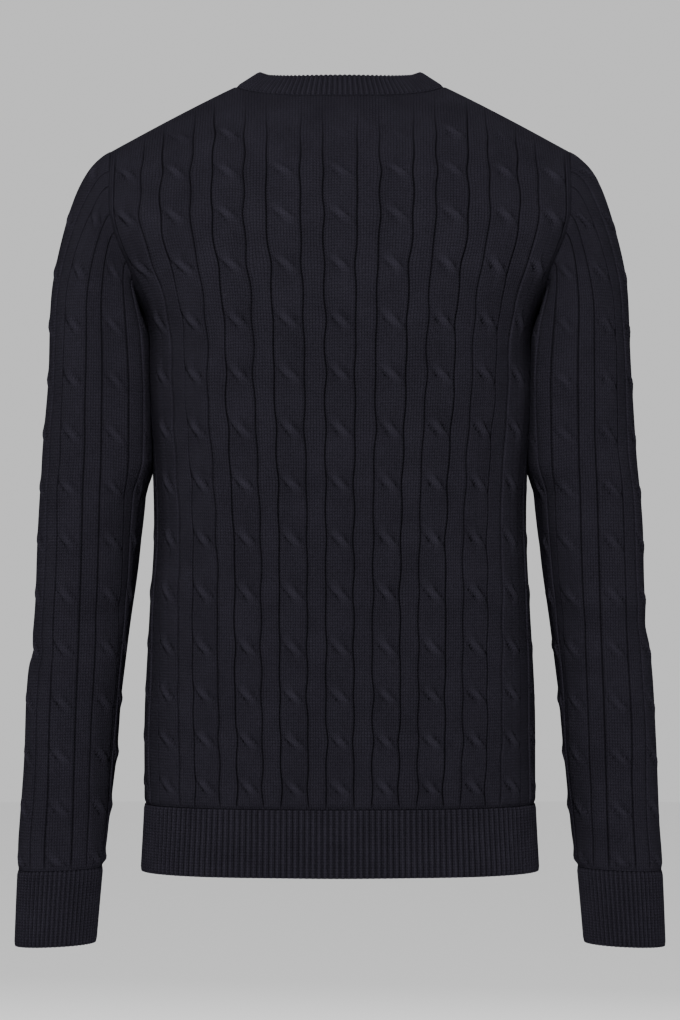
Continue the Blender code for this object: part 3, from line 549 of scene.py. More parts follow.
@dataclass(frozen=True)
class Fold:
    """One soft crease: a trough (depth under 0) or a ridge along a straight line, in mm.

    On the body a place is x and z. On a sleeve it is the distance over the cloth from the outer line,
    positive behind, and the distance up from the cuff.
    """

    start: tuple[float, float]
    end: tuple[float, float]
    width: float
    depth: float


def fold_depth(folds: tuple[Fold, ...], across: Array, along: Array) -> Array:
    """How far the cloth is moved outwards by its folds: bells over the distance to each fold's line.

    Args:
        folds: the folds.
        across: each point's first coordinate, in metres.
        along: its second.

    Returns:
        The move in metres, soft at each fold's ends.
    """
    moved = np.zeros_like(across)
    for fold in folds:
        start, end = np.array(fold.start) * MM, np.array(fold.end) * MM
        line = end - start
        share = ((across - start[0]) * line[0] + (along - start[1]) * line[1]) / (line @ line)
        held = np.clip(share, 0, 1)
        gap = np.hypot(across - start[0] - held * line[0], along - start[1] - held * line[1])
        middle = 0.35 + 0.65 * np.sin(math.pi * held)
        moved += fold.depth * MM * middle * hump(gap, fold.width * MM)
    return moved


# ---------------------------------------------------------------- meshes
@dataclass
class Wall:
    """A closed cloth wall: an outer grid with relief over a coarser plain inside.

    The last column of a tube repeats its first one, so that stitches count on across the join.
    """

    outer: Array
    inner: Array
    stitches: Array  # two coordinates: wales across and courses up
    relief: Array
    tube: bool = False
    steps: tuple[int, int] = (5, 6)  # outer grid lines to one of the inside, down and across

    def build(self, name: str) -> bpy.types.Object:
        """Makes the mesh object, with its faces turned outwards.

        Args:
            name: the piece's name.

        Returns:
            The object, at the origin.
        """
        rows, columns = self.relief.shape
        kept_rows, kept_columns = self._kept(rows, self.steps[0]), self._kept(columns, self.steps[1])
        inside = np.ix_(kept_rows, kept_columns)
        shown = columns - 1 if self.tube else columns
        outer_ids = self._numbered(rows, shown, 0)
        inner_shown = len(kept_columns) - 1 if self.tube else len(kept_columns)
        inner_ids = self._numbered(len(kept_rows), inner_shown, rows * shown)
        marks = np.arange(rows * columns).reshape(rows, columns)
        edges = [((0, slice(None)), kept_columns, True), ((-1, slice(None)), kept_columns, False)]
        if not self.tube:
            edges += [((slice(None), 0), kept_rows, False), ((slice(None), -1), kept_rows, True)]
        faces = self._faces(outer_ids, inner_ids, edges)
        places = np.concatenate([block.ravel() for block in self._faces(marks, marks[inside], edges)])
        points = [self.outer[:, :shown].reshape(-1, 3), self.inner[inside][:, :inner_shown].reshape(-1, 3)]
        relief = np.concatenate([self.relief[:, :shown].ravel(), np.zeros(inner_ids[:, :inner_shown].size)])
        made = mesh_object(name, np.vstack(points), faces)
        layer = made.data.uv_layers.new(name="stitches")
        layer.data.foreach_set("uv", self.stitches.reshape(-1, 2)[places].astype(np.float32).ravel())
        height = made.data.attributes.new("relief", "FLOAT", "POINT")
        height.data.foreach_set("value", relief.astype(np.float32))
        if signed_volume(made.data) < 0:
            made.data.flip_normals()
        return made

    @staticmethod
    def _kept(count: int, step: int) -> Array:
        """Indices of the grid lines that the inside keeps, both ends among them."""
        return np.unique(np.round(np.linspace(0, count - 1, max(count // step, 2) + 1)).astype(int))

    def _numbered(self, rows: int, shown: int, first: int) -> Array:
        """Point numbers of a grid; a tube's last column has its first one's numbers."""
        ids = first + np.arange(rows * shown).reshape(rows, shown)
        return np.hstack([ids, ids[:, :1]]) if self.tube else ids

    def _faces(self, outer: Array, inner: Array, edges: list[tuple[Any, Array, bool]]) -> list[Array]:
        """Faces of both sides and of the rims between them.

        Args:
            outer: numbers of the outer grid.
            inner: numbers of the inner grid.
            edges: each open edge's place in a grid, the outer lines the inside keeps, and its direction.

        Returns:
            Blocks of faces, each with one number of corners.
        """
        blocks = [self.squares(outer), self.squares(inner)[:, ::-1]]
        for place, kept, flipped in edges:
            edge, other = outer[place], inner[place]
            for k in range(len(kept) - 1):
                face = np.concatenate([edge[kept[k] : kept[k + 1] + 1], other[[k + 1, k]]])[None]
                blocks.append(face[:, ::-1] if flipped else face)
        return blocks

    @staticmethod
    def squares(ids: Array) -> Array:
        """A grid's squares, one to a row."""
        corners = [ids[:-1, :-1], ids[:-1, 1:], ids[1:, 1:], ids[1:, :-1]]
        return np.stack([corner.ravel() for corner in corners], axis=-1)


def mesh_object(name: str, points: Array, blocks: list[Array]) -> bpy.types.Object:
    """Links a smooth mesh object made from blocks of faces; each block's faces have one size.

    Args:
        name: the object's name.
        points: its points.
        blocks: blocks of corner numbers, one face to a row.

    Returns:
        The object.
    """
    sizes = np.concatenate([np.full(len(block), block.shape[1]) for block in blocks])
    corners = np.concatenate([block.ravel() for block in blocks])
    mesh = bpy.data.meshes.new(name)
    mesh.vertices.add(len(points))
    mesh.vertices.foreach_set("co", points.astype(np.float32).ravel())
    mesh.loops.add(len(corners))
    mesh.loops.foreach_set("vertex_index", corners.astype(np.int32))
    mesh.polygons.add(len(sizes))
    mesh.polygons.foreach_set("loop_start", np.concatenate([[0], np.cumsum(sizes)[:-1]]).astype(np.int32))
    mesh.polygons.foreach_set("use_smooth", np.ones(len(sizes), dtype=bool))
    mesh.update(calc_edges=True)
    made = bpy.data.objects.new(name, mesh)
    bpy.context.scene.collection.objects.link(made)
    return made


def signed_volume(mesh: bpy.types.Mesh) -> float:
    """The volume a closed mesh holds, below 0 where its faces point inwards."""
    mesh.calc_loop_triangles()
    points = np.zeros(len(mesh.vertices) * 3)
    mesh.vertices.foreach_get("co", points)
    corners = np.zeros(len(mesh.loop_triangles) * 3, dtype=np.int32)
    mesh.loop_triangles.foreach_get("vertices", corners)
    a, b, c = np.moveaxis(points.reshape(-1, 3)[corners.reshape(-1, 3)], 1, 0)
    return float(np.sum(a * np.cross(b, c)) / 6)


def tube(path: Array, radius: float, sides: int, closed: bool) -> tuple[Array, list[Array]]:
    """A round tube along a line of points, with capped ends unless it is closed.

    Args:
        path: the line's points.
        radius: the tube's radius.
        sides: how many sides it has.
        closed: whether the last point is joined to the first.

    Returns:
        Points, and blocks of faces.
    """
    ends = (np.roll(path, -1, axis=0), np.roll(path, 1, axis=0))
    ahead = unit(ends[0] - ends[1] if closed else np.gradient(path, axis=0))
    aside = unit(np.cross(ahead, NO_THREAD))
    over = np.cross(aside, ahead)
    turn = 2 * math.pi * np.arange(sides) / sides
    ring = np.cos(turn)[None, :, None] * aside[:, None] + np.sin(turn)[None, :, None] * over[:, None]
    points = path[:, None] + radius * ring
    ids = np.arange(len(path) * sides).reshape(len(path), sides)
    ids = np.hstack([ids, ids[:, :1]])
    if closed:
        ids = np.vstack([ids, ids[:1]])
    blocks = [Wall.squares(ids)]
    if not closed:
        blocks += [ids[:1, :-1][:, ::-1], ids[-1:, :-1]]
    return points.reshape(-1, 3), blocks


# ---------------------------------------------------------------- shader maths
Term = Union["Value", float]


class Value:
    """A number of a material that varies over the surface; arithmetic on it adds Math nodes."""

    def __init__(self, shader: "Shader", socket: bpy.types.NodeSocket) -> None:
        """Wraps a socket of a shader's node tree."""
        self.shader = shader
        self.socket = socket

    def math(self, operation: str, *others: Term, clamp: bool = False) -> "Value":
        """This value put through one Math operation with others."""
        settings = {"operation": operation, "use_clamp": clamp}
        node = self.shader.node("ShaderNodeMath", settings, [self, *others])
        return Value(self.shader, node.outputs[0])

    def __add__(self, other: Term) -> "Value":
        """Sum."""
        return self.math("ADD", other)

    __radd__ = __add__

    def __mul__(self, other: Term) -> "Value":
        """Product."""
        return self.math("MULTIPLY", other)

    __rmul__ = __mul__

    def __sub__(self, other: Term) -> "Value":
        """Difference."""
        return self.math("SUBTRACT", other)

    def __rsub__(self, other: Term) -> "Value":
        """Difference, from a number."""
        return (self * -1.0).math("ADD", other)

    def __pow__(self, other: Term) -> "Value":
        """Power."""
        return self.math("POWER", other)

    def __abs__(self) -> "Value":
        """Size without sign."""
        return self.math("ABSOLUTE")

    def fraction(self) -> "Value":
        """What is left past the whole number below."""
        return self.math("FRACT")

    def sine(self) -> "Value":
        """Sine of an angle in radians."""
        return self.math("SINE")

    def held(self) -> "Value":
        """The value held between 0 and 1."""
        return self.math("ADD", 0.0, clamp=True)


class Shader:
    """A material under construction."""

    def __init__(self, name: str) -> None:
        """Starts a material with its Principled shader."""
        self.material = bpy.data.materials.new(name)
        self.material.use_nodes = True
        self.tree = self.material.node_tree
        self.surface = self.tree.nodes["Principled BSDF"]

    def node(self, kind: str, settings: dict[str, Any], inputs: Any = ()) -> bpy.types.Node:
        """Adds a node.

        Args:
            kind: the node's type.
            settings: its own settings, set first.
            inputs: numbers or values for its sockets, in a list by place or in a dict by name.

        Returns:
            The node.
        """
        made = self.tree.nodes.new(kind)
        for setting, value in settings.items():
            setattr(made, setting, value)
        pairs = inputs.items() if isinstance(inputs, dict) else enumerate(inputs)
        for key, value in pairs:
            self.feed(made.inputs[key], value)
        return made

    def feed(self, socket: bpy.types.NodeSocket, value: Any) -> None:
        """Links a value to a socket, or sets a plain number or colour on it."""
        if isinstance(value, Value):
            self.tree.links.new(value.socket, socket)
        else:
            socket.default_value = value

    def blend(self, share: Value, low: Colour, high: Colour) -> Value:
        """A colour between two, by a share from 0 to 1."""
        made = self.node("ShaderNodeMix", {"data_type": "RGBA", "clamp_factor": True})
        self.feed(made.inputs[0], share)
        made.inputs[6].default_value = low
        made.inputs[7].default_value = high
        return Value(self, made.outputs[2])

    def noise(self, scale: float, detail: float, stretch: tuple[float, float, float] = (1, 1, 1)) -> Value:
        """Even noise from 0 to 1 in the piece's own coordinates."""
        place = self.node("ShaderNodeTexCoord", {})
        moved = self.node("ShaderNodeMapping", {}, {"Vector": Value(self, place.outputs["Object"])})
        moved.inputs["Scale"].default_value = stretch
        inputs = {"Vector": Value(self, moved.outputs[0]), "Scale": scale, "Detail": detail}
        made = self.node("ShaderNodeTexNoise", {}, inputs)
        return Value(self, made.outputs["Fac"])

    def bump(self, height: Value, distance: float, strength: float = 1.0) -> None:
        """Feeds a height to the surface's normal; distance is the real height of 1."""
        inputs = {"Strength": strength, "Distance": distance, "Height": height}
        made = self.node("ShaderNodeBump", {}, inputs)
        self.tree.links.new(made.outputs[0], self.surface.inputs["Normal"])

    def set(self, **numbers: float) -> None:
        """Sets plain numbers on the surface's sockets, by name with _ for a space."""
        for name, number in numbers.items():
            self.surface.inputs[name.replace("_", " ")].default_value = number


@dataclass(frozen=True)
class KnitFinish:
    """Dark navy yarn: stitches as small V shapes in relief, a soft bloom of fibres, uneven dye, painted
    highlights on stitches and crossings, painted shade in the grooves.
    """

    name: str
    low: Colour = (0.0010, 0.0009, 0.0012, 1)
    high: Colour = (0.0100, 0.0092, 0.0128, 1)
    lean: float = 0.62  # how far a stitch's legs lean, in rows
    stitch_height: float = 0.55 * MM
    fibre_height: float = 0.10 * MM
    roughness: float = 0.82
    sheen: float = 0.003
    sheen_tint: Colour = (0.72, 0.72, 0.85, 1)
    painted_course_share: float = 0.08  # painted light and shade across each row of stitches, as a share of the lighter colour
    painted_ridge_share: float = 0.17  # painted highlight on the crest down the middle of each column of stitches
    painted_stitch_share: float = 0.22  # painted highlight on the stitches' legs
    tone_light: float = 0.25  # from uneven dye
    fuzz_light: float = 0.42  # from loose fibres
    painted_crown_share: float = 0.26  # painted highlight on relief above the plateau, the crossing strands
    less_light: float = 0.14  # taken off their sum
    painted_groove_share: float = 0.15  # painted shade: the share of all that left in the deepest groove

    def material(self) -> bpy.types.Material:
        """Builds the material.

        A stitch is two legs that meet at its middle. Its height is a sine across each leg times a
        rounded step along the row, which the lean shifts away from the middle. The base colour carries
        painted highlights on the stitches and raised crossings, and painted shade in the grooves.

        Returns:
            The material.
        """
        shader = Shader(self.name)
        place = shader.node("ShaderNodeUVMap", {"uv_map": "stitches"})
        split = shader.node("ShaderNodeSeparateXYZ", {}, [Value(shader, place.outputs[0])])
        wale, row = Value(shader, split.outputs[0]), Value(shader, split.outputs[1])
        leg = abs(wale.fraction() - 0.5) * 2.0
        across = (leg * math.pi).sine()
        along = 1.0 - abs((row + leg * self.lean).fraction() * 2.0 - 1.0) ** 2.0
        stitch = (across * 0.75 + 0.25) * along
        fibre = shader.noise(2600.0, 3.0)
        tone = shader.noise(38.0, 2.0)
        relief = shader.node("ShaderNodeAttribute", {"attribute_name": "relief"})
        raised = Value(shader, relief.outputs["Fac"])
        # painted shade from the relief: the colour darkens where the knit is low, most in the grooves
        painted_shade = (raised * 1.5 + 0.85).held() * (1 - self.painted_groove_share) + self.painted_groove_share
        # painted highlight: relief above the plateau, the crossing strands, is coloured lighter
        painted_crown = (raised - 1.0).held() * self.painted_crown_share
        # painted highlights of the stitches: lighter rows, column crests and legs; the bump below gives their
        # relief
        courses = (row * (2 * math.pi)).sine() * 0.5 + 0.5
        ridge = 1.0 - leg ** 2.0
        fuzz = shader.noise(650.0, 3.0)
        knit = courses * self.painted_course_share + ridge * self.painted_ridge_share + stitch * self.painted_stitch_share
        # the painted stitch and crossing highlights, plus uneven dye tone and loose fibres
        yarn = knit + tone * self.tone_light + fuzz * self.fuzz_light + painted_crown
        share = ((yarn - self.less_light) * painted_shade).held()
        shader.feed(shader.surface.inputs["Base Color"], shader.blend(share, self.low, self.high))
        shader.feed(shader.surface.inputs["Roughness"], (fibre * 0.12 + self.roughness - 0.06).held())
        height = stitch * 0.75 + ridge * 0.35 + fibre * (self.fibre_height / self.stitch_height)
        shader.bump(height, self.stitch_height)
        shader.set(Sheen_Weight=self.sheen, Sheen_Roughness=0.45, Specular_IOR_Level=0.0)
        shader.surface.inputs["Sheen Tint"].default_value = self.sheen_tint
        return shader.material


@dataclass(frozen=True)
class ButtonFinish:
    """Dark polished plastic with faint darker veins, as pressed horn has."""

    name: str = "button_horn"
    low: Colour = (0.0012, 0.0012, 0.0017, 1)
    high: Colour = (0.0042, 0.0039, 0.0044, 1)

    def material(self) -> bpy.types.Material:
        """Builds the material: veins are noise stretched along the button."""
        shader = Shader(self.name)
        veins = shader.noise(60.0, 4.0, (1.0, 1.0, 5.0))
        colour = shader.blend((veins * 2.2 - 0.7).held(), self.low, self.high)
        shader.feed(shader.surface.inputs["Base Color"], colour)
        shader.feed(shader.surface.inputs["Roughness"], (veins * 0.15 + 0.36).held())
        shader.bump(shader.noise(900.0, 2.0), 0.02 * MM)
        shader.set(Specular_IOR_Level=0.05)
        return shader.material


@dataclass(frozen=True)
class ThreadFinish:
    """Dark sewing thread with its twist."""

    name: str = "button_thread"
    low: Colour = (0.0020, 0.0019, 0.0026, 1)
    high: Colour = (0.0090, 0.0085, 0.0118, 1)

    def material(self) -> bpy.types.Material:
        """Builds the material: fine noise for the twist's light and dark."""
        shader = Shader(self.name)
        twist = shader.noise(2200.0, 2.0)
        shader.feed(shader.surface.inputs["Base Color"], shader.blend(twist, self.low, self.high))
        shader.bump(twist, 0.05 * MM)
        shader.set(Roughness=0.7, Specular_IOR_Level=0.02)
        return shader.material


# ---------------------------------------------------------------- dressing a piece
@dataclass(frozen=True)
class Cut:
    """A piece laid flat, before its relief: widest by longest in metres, and area in square metres."""

    width: float
    length: float
    area: float


@dataclass
class Dresser:
    """Gives each piece its place on the part: the body it rides on, its node, slot and finish."""

    knit: bpy.types.Material
    rib: bpy.types.Material
    button: bpy.types.Material
    thread: bpy.types.Material

    def cloth(self, piece: bpy.types.Object, slot: Slot) -> None:
        """Dresses one knitted piece that stands for the node of its name.

        Args:
            piece: the object.
            slot: the material slot, which picks the cable or the rib material.
        """
        piece.data.materials.append(self.knit if slot is Slot.CABLE else self.rib)
        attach(piece, BODY)
        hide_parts(piece.name.removesuffix("_knit"))
        LOG.info("%s: %d faces, area %.4f", piece.name, len(piece.data.polygons), cloth_area(piece))

    def trim(self, piece: bpy.types.Object, material: bpy.types.Material, node: str = "") -> None:
        """Dresses a button or its thread; a button stands for its node."""
        piece.data.materials.append(material)
        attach(piece, BODY)
        if node:
            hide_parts(node)
        LOG.info("%s: %d faces", piece.name, len(piece.data.polygons))


@dataclass(frozen=True)
class EdgeRoll:
    """How a sewn edge rolls in towards its seam."""

    depth: float = 0.8 * MM
    width: float = 3.0 * MM

    def dip(self, distance: Array) -> Array:
        """How far the cloth lies below its plain surface at a distance from the edge: a soft step."""
        return -self.depth * (1 - ease(0, self.width, distance))


@dataclass(frozen=True)
class Unevenness:
    """Slight waviness of hand-finished knitwear, as a few slow sines that don't line up."""

    size: float = 0.7 * MM

    def depth(self, across: Array, along: Array) -> Array:
        """The move outwards at a place: three crossed sines with wavelengths from 7 to 15 cm."""
        first = np.sin(across * 47.0 + along * 13.0 + 0.7)
        second = np.sin(along * 38.0 - across * 21.0 + 2.1)
        third = np.sin(across * 71.0 + along * 59.0 + 4.0)
        return self.size * (first + second + 0.5 * third)


@dataclass
class PanelGrid:
    """A panel's plain points and outward directions, kept for the pieces that are sewn to it."""

    plain: Array
    normals: Array
    columns: Array

    def edge(self) -> tuple[Array, Array]:
        """The side seam and armhole edge: its points and outward directions, from the hem up."""
        return self.plain[:, -1], self.normals[:, -1]


@dataclass
class Panels:
    """The back and the two fronts, knitted in cable stitch."""

    form: BodyForm
    stitch: CableStitch = CableStitch()
    crossings: Crossings = Crossings()
    roll: EdgeRoll = EdgeRoll()
    uneven: Unevenness = Unevenness()
    side_roll: float = 0.1
    wall: float = 1.9 * MM
    row_step: float = 2.55 * MM
    fades: tuple[float, float] = (2 * MM, 78 * MM)  # cables come up over this stretch below the neck
    shoulder_fade: float = 36 * MM  # the same below the shoulder seams
    facing: float = 145 * MM  # length of the side that the sleeve hangs against
    facing_ends: tuple[float, float] = (70 * MM, 40 * MM)  # below and above its lower end
    facing_top: float = 30 * MM  # above the armpit
    outside: float = 0.3  # it lowers the relief fully from this many columns past the fixed one
    beside_sleeve: float = 0.25  # share of the relief there
    at_side: float = 0.55  # share of the relief left along the side seams
    side_fade: tuple[float, float] = (4.5, 5.1)  # columns over which it drops to that
    at_armhole: float = 0.45  # share left at the armhole's edge
    armhole_fade: float = 3 * MM  # from there it grows over this distance
    hem_fade: float = 6 * MM  # the relief grows over this stretch above the hem
    neck_ends: tuple[float, float] = (1.2, 2.4)  # columns from neckline to shoulder
    edge_lines: int = 58  # grid lines from the armhole's fixed column to the side seam, with both
    near_seam: tuple[float, float] = (0.6 * MM, 1.3 * MM)  # extra rows next to a seam
    band_reach: float = 0.7  # columns nearer the centre than this are moved to lie along the band
    fan_from: float = 0.9  # columns past this one on a front fan out from higher up
    drawn: tuple[float, float] = (4.0, 4.25)  # the drawing in of stitches fades out over these columns
    drawn_front: tuple[float, float] = (0.55, 0.75)  # and, on a front, comes in over these
    loose_from: tuple[float, float] = (2 * MM, 30 * MM)  # folds grow over this stretch from an edge
    middle: tuple[float, float, float] = (0, 0, -0.35)  # a place inside, that panels face away from
    back_folds: tuple[Fold, ...] = (
        Fold((150, -215), (118, -330), 13, -2.2),
        Fold((-152, -205), (-124, -345), 12, -2.0),
        Fold((132, -400), (48, -418), 15, -1.3),
        Fold((-134, -378), (-66, -402), 15, -1.4),
        Fold((60, -60), (110, -150), 26, 1.2),
        Fold((-64, -66), (-118, -160), 26, 1.1),
        Fold((96, -590), (92, -520), 12, -1.3),
        Fold((-48, -596), (-52, -500), 14, 1.1),
    )
    front_folds: tuple[Fold, ...] = (
        Fold((148, -210), (112, -335), 13, -2.2),
        Fold((-150, -215), (-116, -320), 12, -2.1),
        Fold((136, -392), (58, -412), 15, -1.3),
        Fold((-132, -404), (-54, -420), 15, -1.2),
        Fold((100, -70), (84, -170), 22, 1.2),
        Fold((-104, -74), (-90, -165), 22, 1.1),
        Fold((90, -592), (84, -505), 13, -1.1),
        Fold((-70, -594), (-66, -515), 13, -1.2),
    )

    def rows(self) -> Array:
        """Row heights from the hem seam to the neck, with two more next to each."""
        first = self.form.hem_top + self.form.seam / 2
        inside = np.linspace(first, 0, int(-first / self.row_step))
        near = np.array(self.near_seam)
        return np.sort(np.concatenate([inside, first + near, -near]))

    def _lines(self, first: float) -> Array:
        """Grid lines from a column to the side seam: even and close where the armhole cuts across."""
        form = self.form
        beyond = np.linspace(form.armhole_fixed, form.side, self.edge_lines)[1:]
        inside = self.stitch.columns(max(first, -form.armhole_fixed), form.armhole_fixed)
        return np.concatenate([-beyond[::-1], inside, beyond] if first < 0 else [inside, beyond])

    def place(self, column: Array, row: Array, half: Half) -> tuple[Array, Array]:
        """Where each grid line meets each row: the column in space, and the height.

        Lines past the fixed column bunch up to the armhole's edge. Above the yoke, and beside the V,
        rows fan out evenly along each line up to where it ends.

        Args:
            column: signed knit columns, one for each grid line, away from the centre.
            row: row heights.
            half: back or front.

        Returns:
            Two grids, of signed columns and of heights.
        """
        form, size = self.form, np.abs(column)
        edge = form.armhole_column(np.minimum(row, form.yoke), half)[:, None]
        fixed = form.armhole_fixed
        bunched = fixed + (size - fixed) * (edge - fixed) / (form.side - fixed)
        moved = np.where(size > fixed, bunched, size)
        fan = np.full(len(size), form.yoke)
        if half is Half.FRONT:
            fan = form.v_fan + (form.yoke - form.v_fan) * ease(self.fan_from, form.neck_column, size)
            moved = self._beside_band(moved, row)
        last = moved[-1]
        top = form.neckline(last) if half is Half.FRONT else form.top(last)
        sine = np.sin(np.linspace(0, math.pi / 2, 60))
        path_z = fan[:, None] + (top - fan)[:, None] * sine
        path_column = np.broadcast_to(last[:, None], path_z.shape)
        length = travelled(form.point(form.turn_of(path_column, path_z, half), path_z, half))
        share = np.clip((row[None] - fan[:, None]) / -fan[:, None], 0, 1)
        fanned = read_lines(share, length / length[:, -1:], path_z[..., None])[..., 0].T
        sign = np.where(column < 0, -1, 1)
        return moved * sign, np.where(row[:, None] <= fan, row[:, None], fanned)

    def _beside_band(self, moved: Array, row: Array) -> Array:
        """Front lines next to the centre, moved so that the first one lies along the band."""
        form, until = self.form, self.band_reach
        first = (form.front_edge / form.column_width(np.minimum(row, form.v_bottom), Half.FRONT))[:, None]
        start = moved[:, :1]
        return np.where(moved < until, first + (moved - start) * (until - first) / (until - start), moved)

    def build(self, name: str, half: Half, side: Side | None) -> tuple[bpy.types.Object, PanelGrid]:
        """Builds the back, or one front.

        Args:
            name: the piece's name.
            half: back or front.
            side: the wearer's side of a front, and None for the back.

        Returns:
            The object, and its plain grid.
        """
        form, row = self.form, self.rows()
        if side is None:
            column = self._lines(-form.side)
        else:
            column = side.value * self._lines(form.front_edge / form.yoke_column)
        moved, z = self.place(column, row, half)
        phase = self.crossings.phase(z)
        knit = np.where(np.abs(column) < self.band_reach, column, moved)
        offset = (knit - np.round(knit)) * half.value
        keep = self._kept(knit, z, half)
        inside = 1 - ease(*self.drawn, np.abs(column))
        inside = inside * ease(*self.drawn_front, np.abs(column)) if side else inside
        drawn = self.stitch.draw_in(np.round(knit), offset, phase) * half.value
        moved = moved + drawn * keep * inside
        plain = form.point(form.turn_of(moved, z, half), z, half)
        plain[-1, :, 1] = half.value * np.maximum(half.value * plain[-1, :, 1], form.half_gap)
        normals = grid_normals(plain, self.middle)
        folds = self.back_folds if half is Half.BACK else self.front_folds
        loose = ease(*self.loose_from, np.minimum(*self._edge_distances(plain)))
        x, height = plain[..., 0], plain[..., 2]
        soft = fold_depth(folds, x, height) + self.uneven.depth(x, height)
        plain = plain + normals * (soft * loose)[..., None]
        normals = grid_normals(plain, self.middle)
        ends, sides = self._edge_distances(plain)
        relief = self.stitch.rise(offset, phase) * keep
        rise = relief + self.roll.dip(ends) + self.roll.dip(sides) * self.side_roll
        courses = travelled(plain, axis=-3) / self.row_step
        wales = np.broadcast_to(knit * self.stitch.wales, rise.shape)
        outer, inner = plain + normals * rise[..., None], plain - normals * self.wall
        stitches = np.stack([wales, courses], axis=-1)
        made = Wall(outer, inner, stitches, relief / self.stitch.plateau).build(name)
        return made, PanelGrid(plain, normals, column)

    def _kept(self, knit: Array, z: Array, half: Half) -> Array:
        """Share of the relief that is kept: less near every edge, and where the sleeve hangs."""
        form, size = self.form, np.abs(knit)
        top = form.neckline(size) if half is Half.FRONT else form.top(size)
        fade = self.fades[1] + (self.shoulder_fade - self.fades[1]) * ease(*self.neck_ends, size)
        keep = ease(0, 1, (top - z - self.fades[0]) / (fade - self.fades[0]))
        keep = keep * ease(0, self.hem_fade, z - form.hem_top)
        low, high = form.armpit - self.facing, form.armpit
        beside = ease(low - self.facing_ends[0], low + self.facing_ends[1], z)
        beside = beside * (1 - ease(high, high + self.facing_top, z))
        edge = form.armhole_column(np.minimum(z[:, -1], form.yoke), half)[:, None]
        from_edge = (edge - size) * form.yoke_column
        at_edge = self.at_armhole + (1 - self.at_armhole) * ease(0, self.armhole_fade, from_edge)
        outside = ease(form.armhole_fixed, form.armhole_fixed + self.outside, size)
        keep = keep * (1 - (1 - self.at_side) * ease(*self.side_fade, size))
        return keep * at_edge * (1 - (1 - self.beside_sleeve) * outside * beside)

    @staticmethod
    def _edge_distances(plain: Array) -> tuple[Array, Array]:
        """Each point's distance over the cloth to the nearer end and to the nearer side of its panel."""
        up, over = travelled(plain, axis=-3), travelled(plain, axis=-2)
        return np.minimum(up, up[-1:] - up), np.minimum(over, over[:, -1:] - over)


# ---------------------------------------------------------------- sleeves
@dataclass(frozen=True)
class Station:
    """The sleeve's section at one place down its length, in mm."""

    outer_x: float
    outer_z: float
    inner_x: float
    inner_z: float
    half_depth: float
    middle_y: float


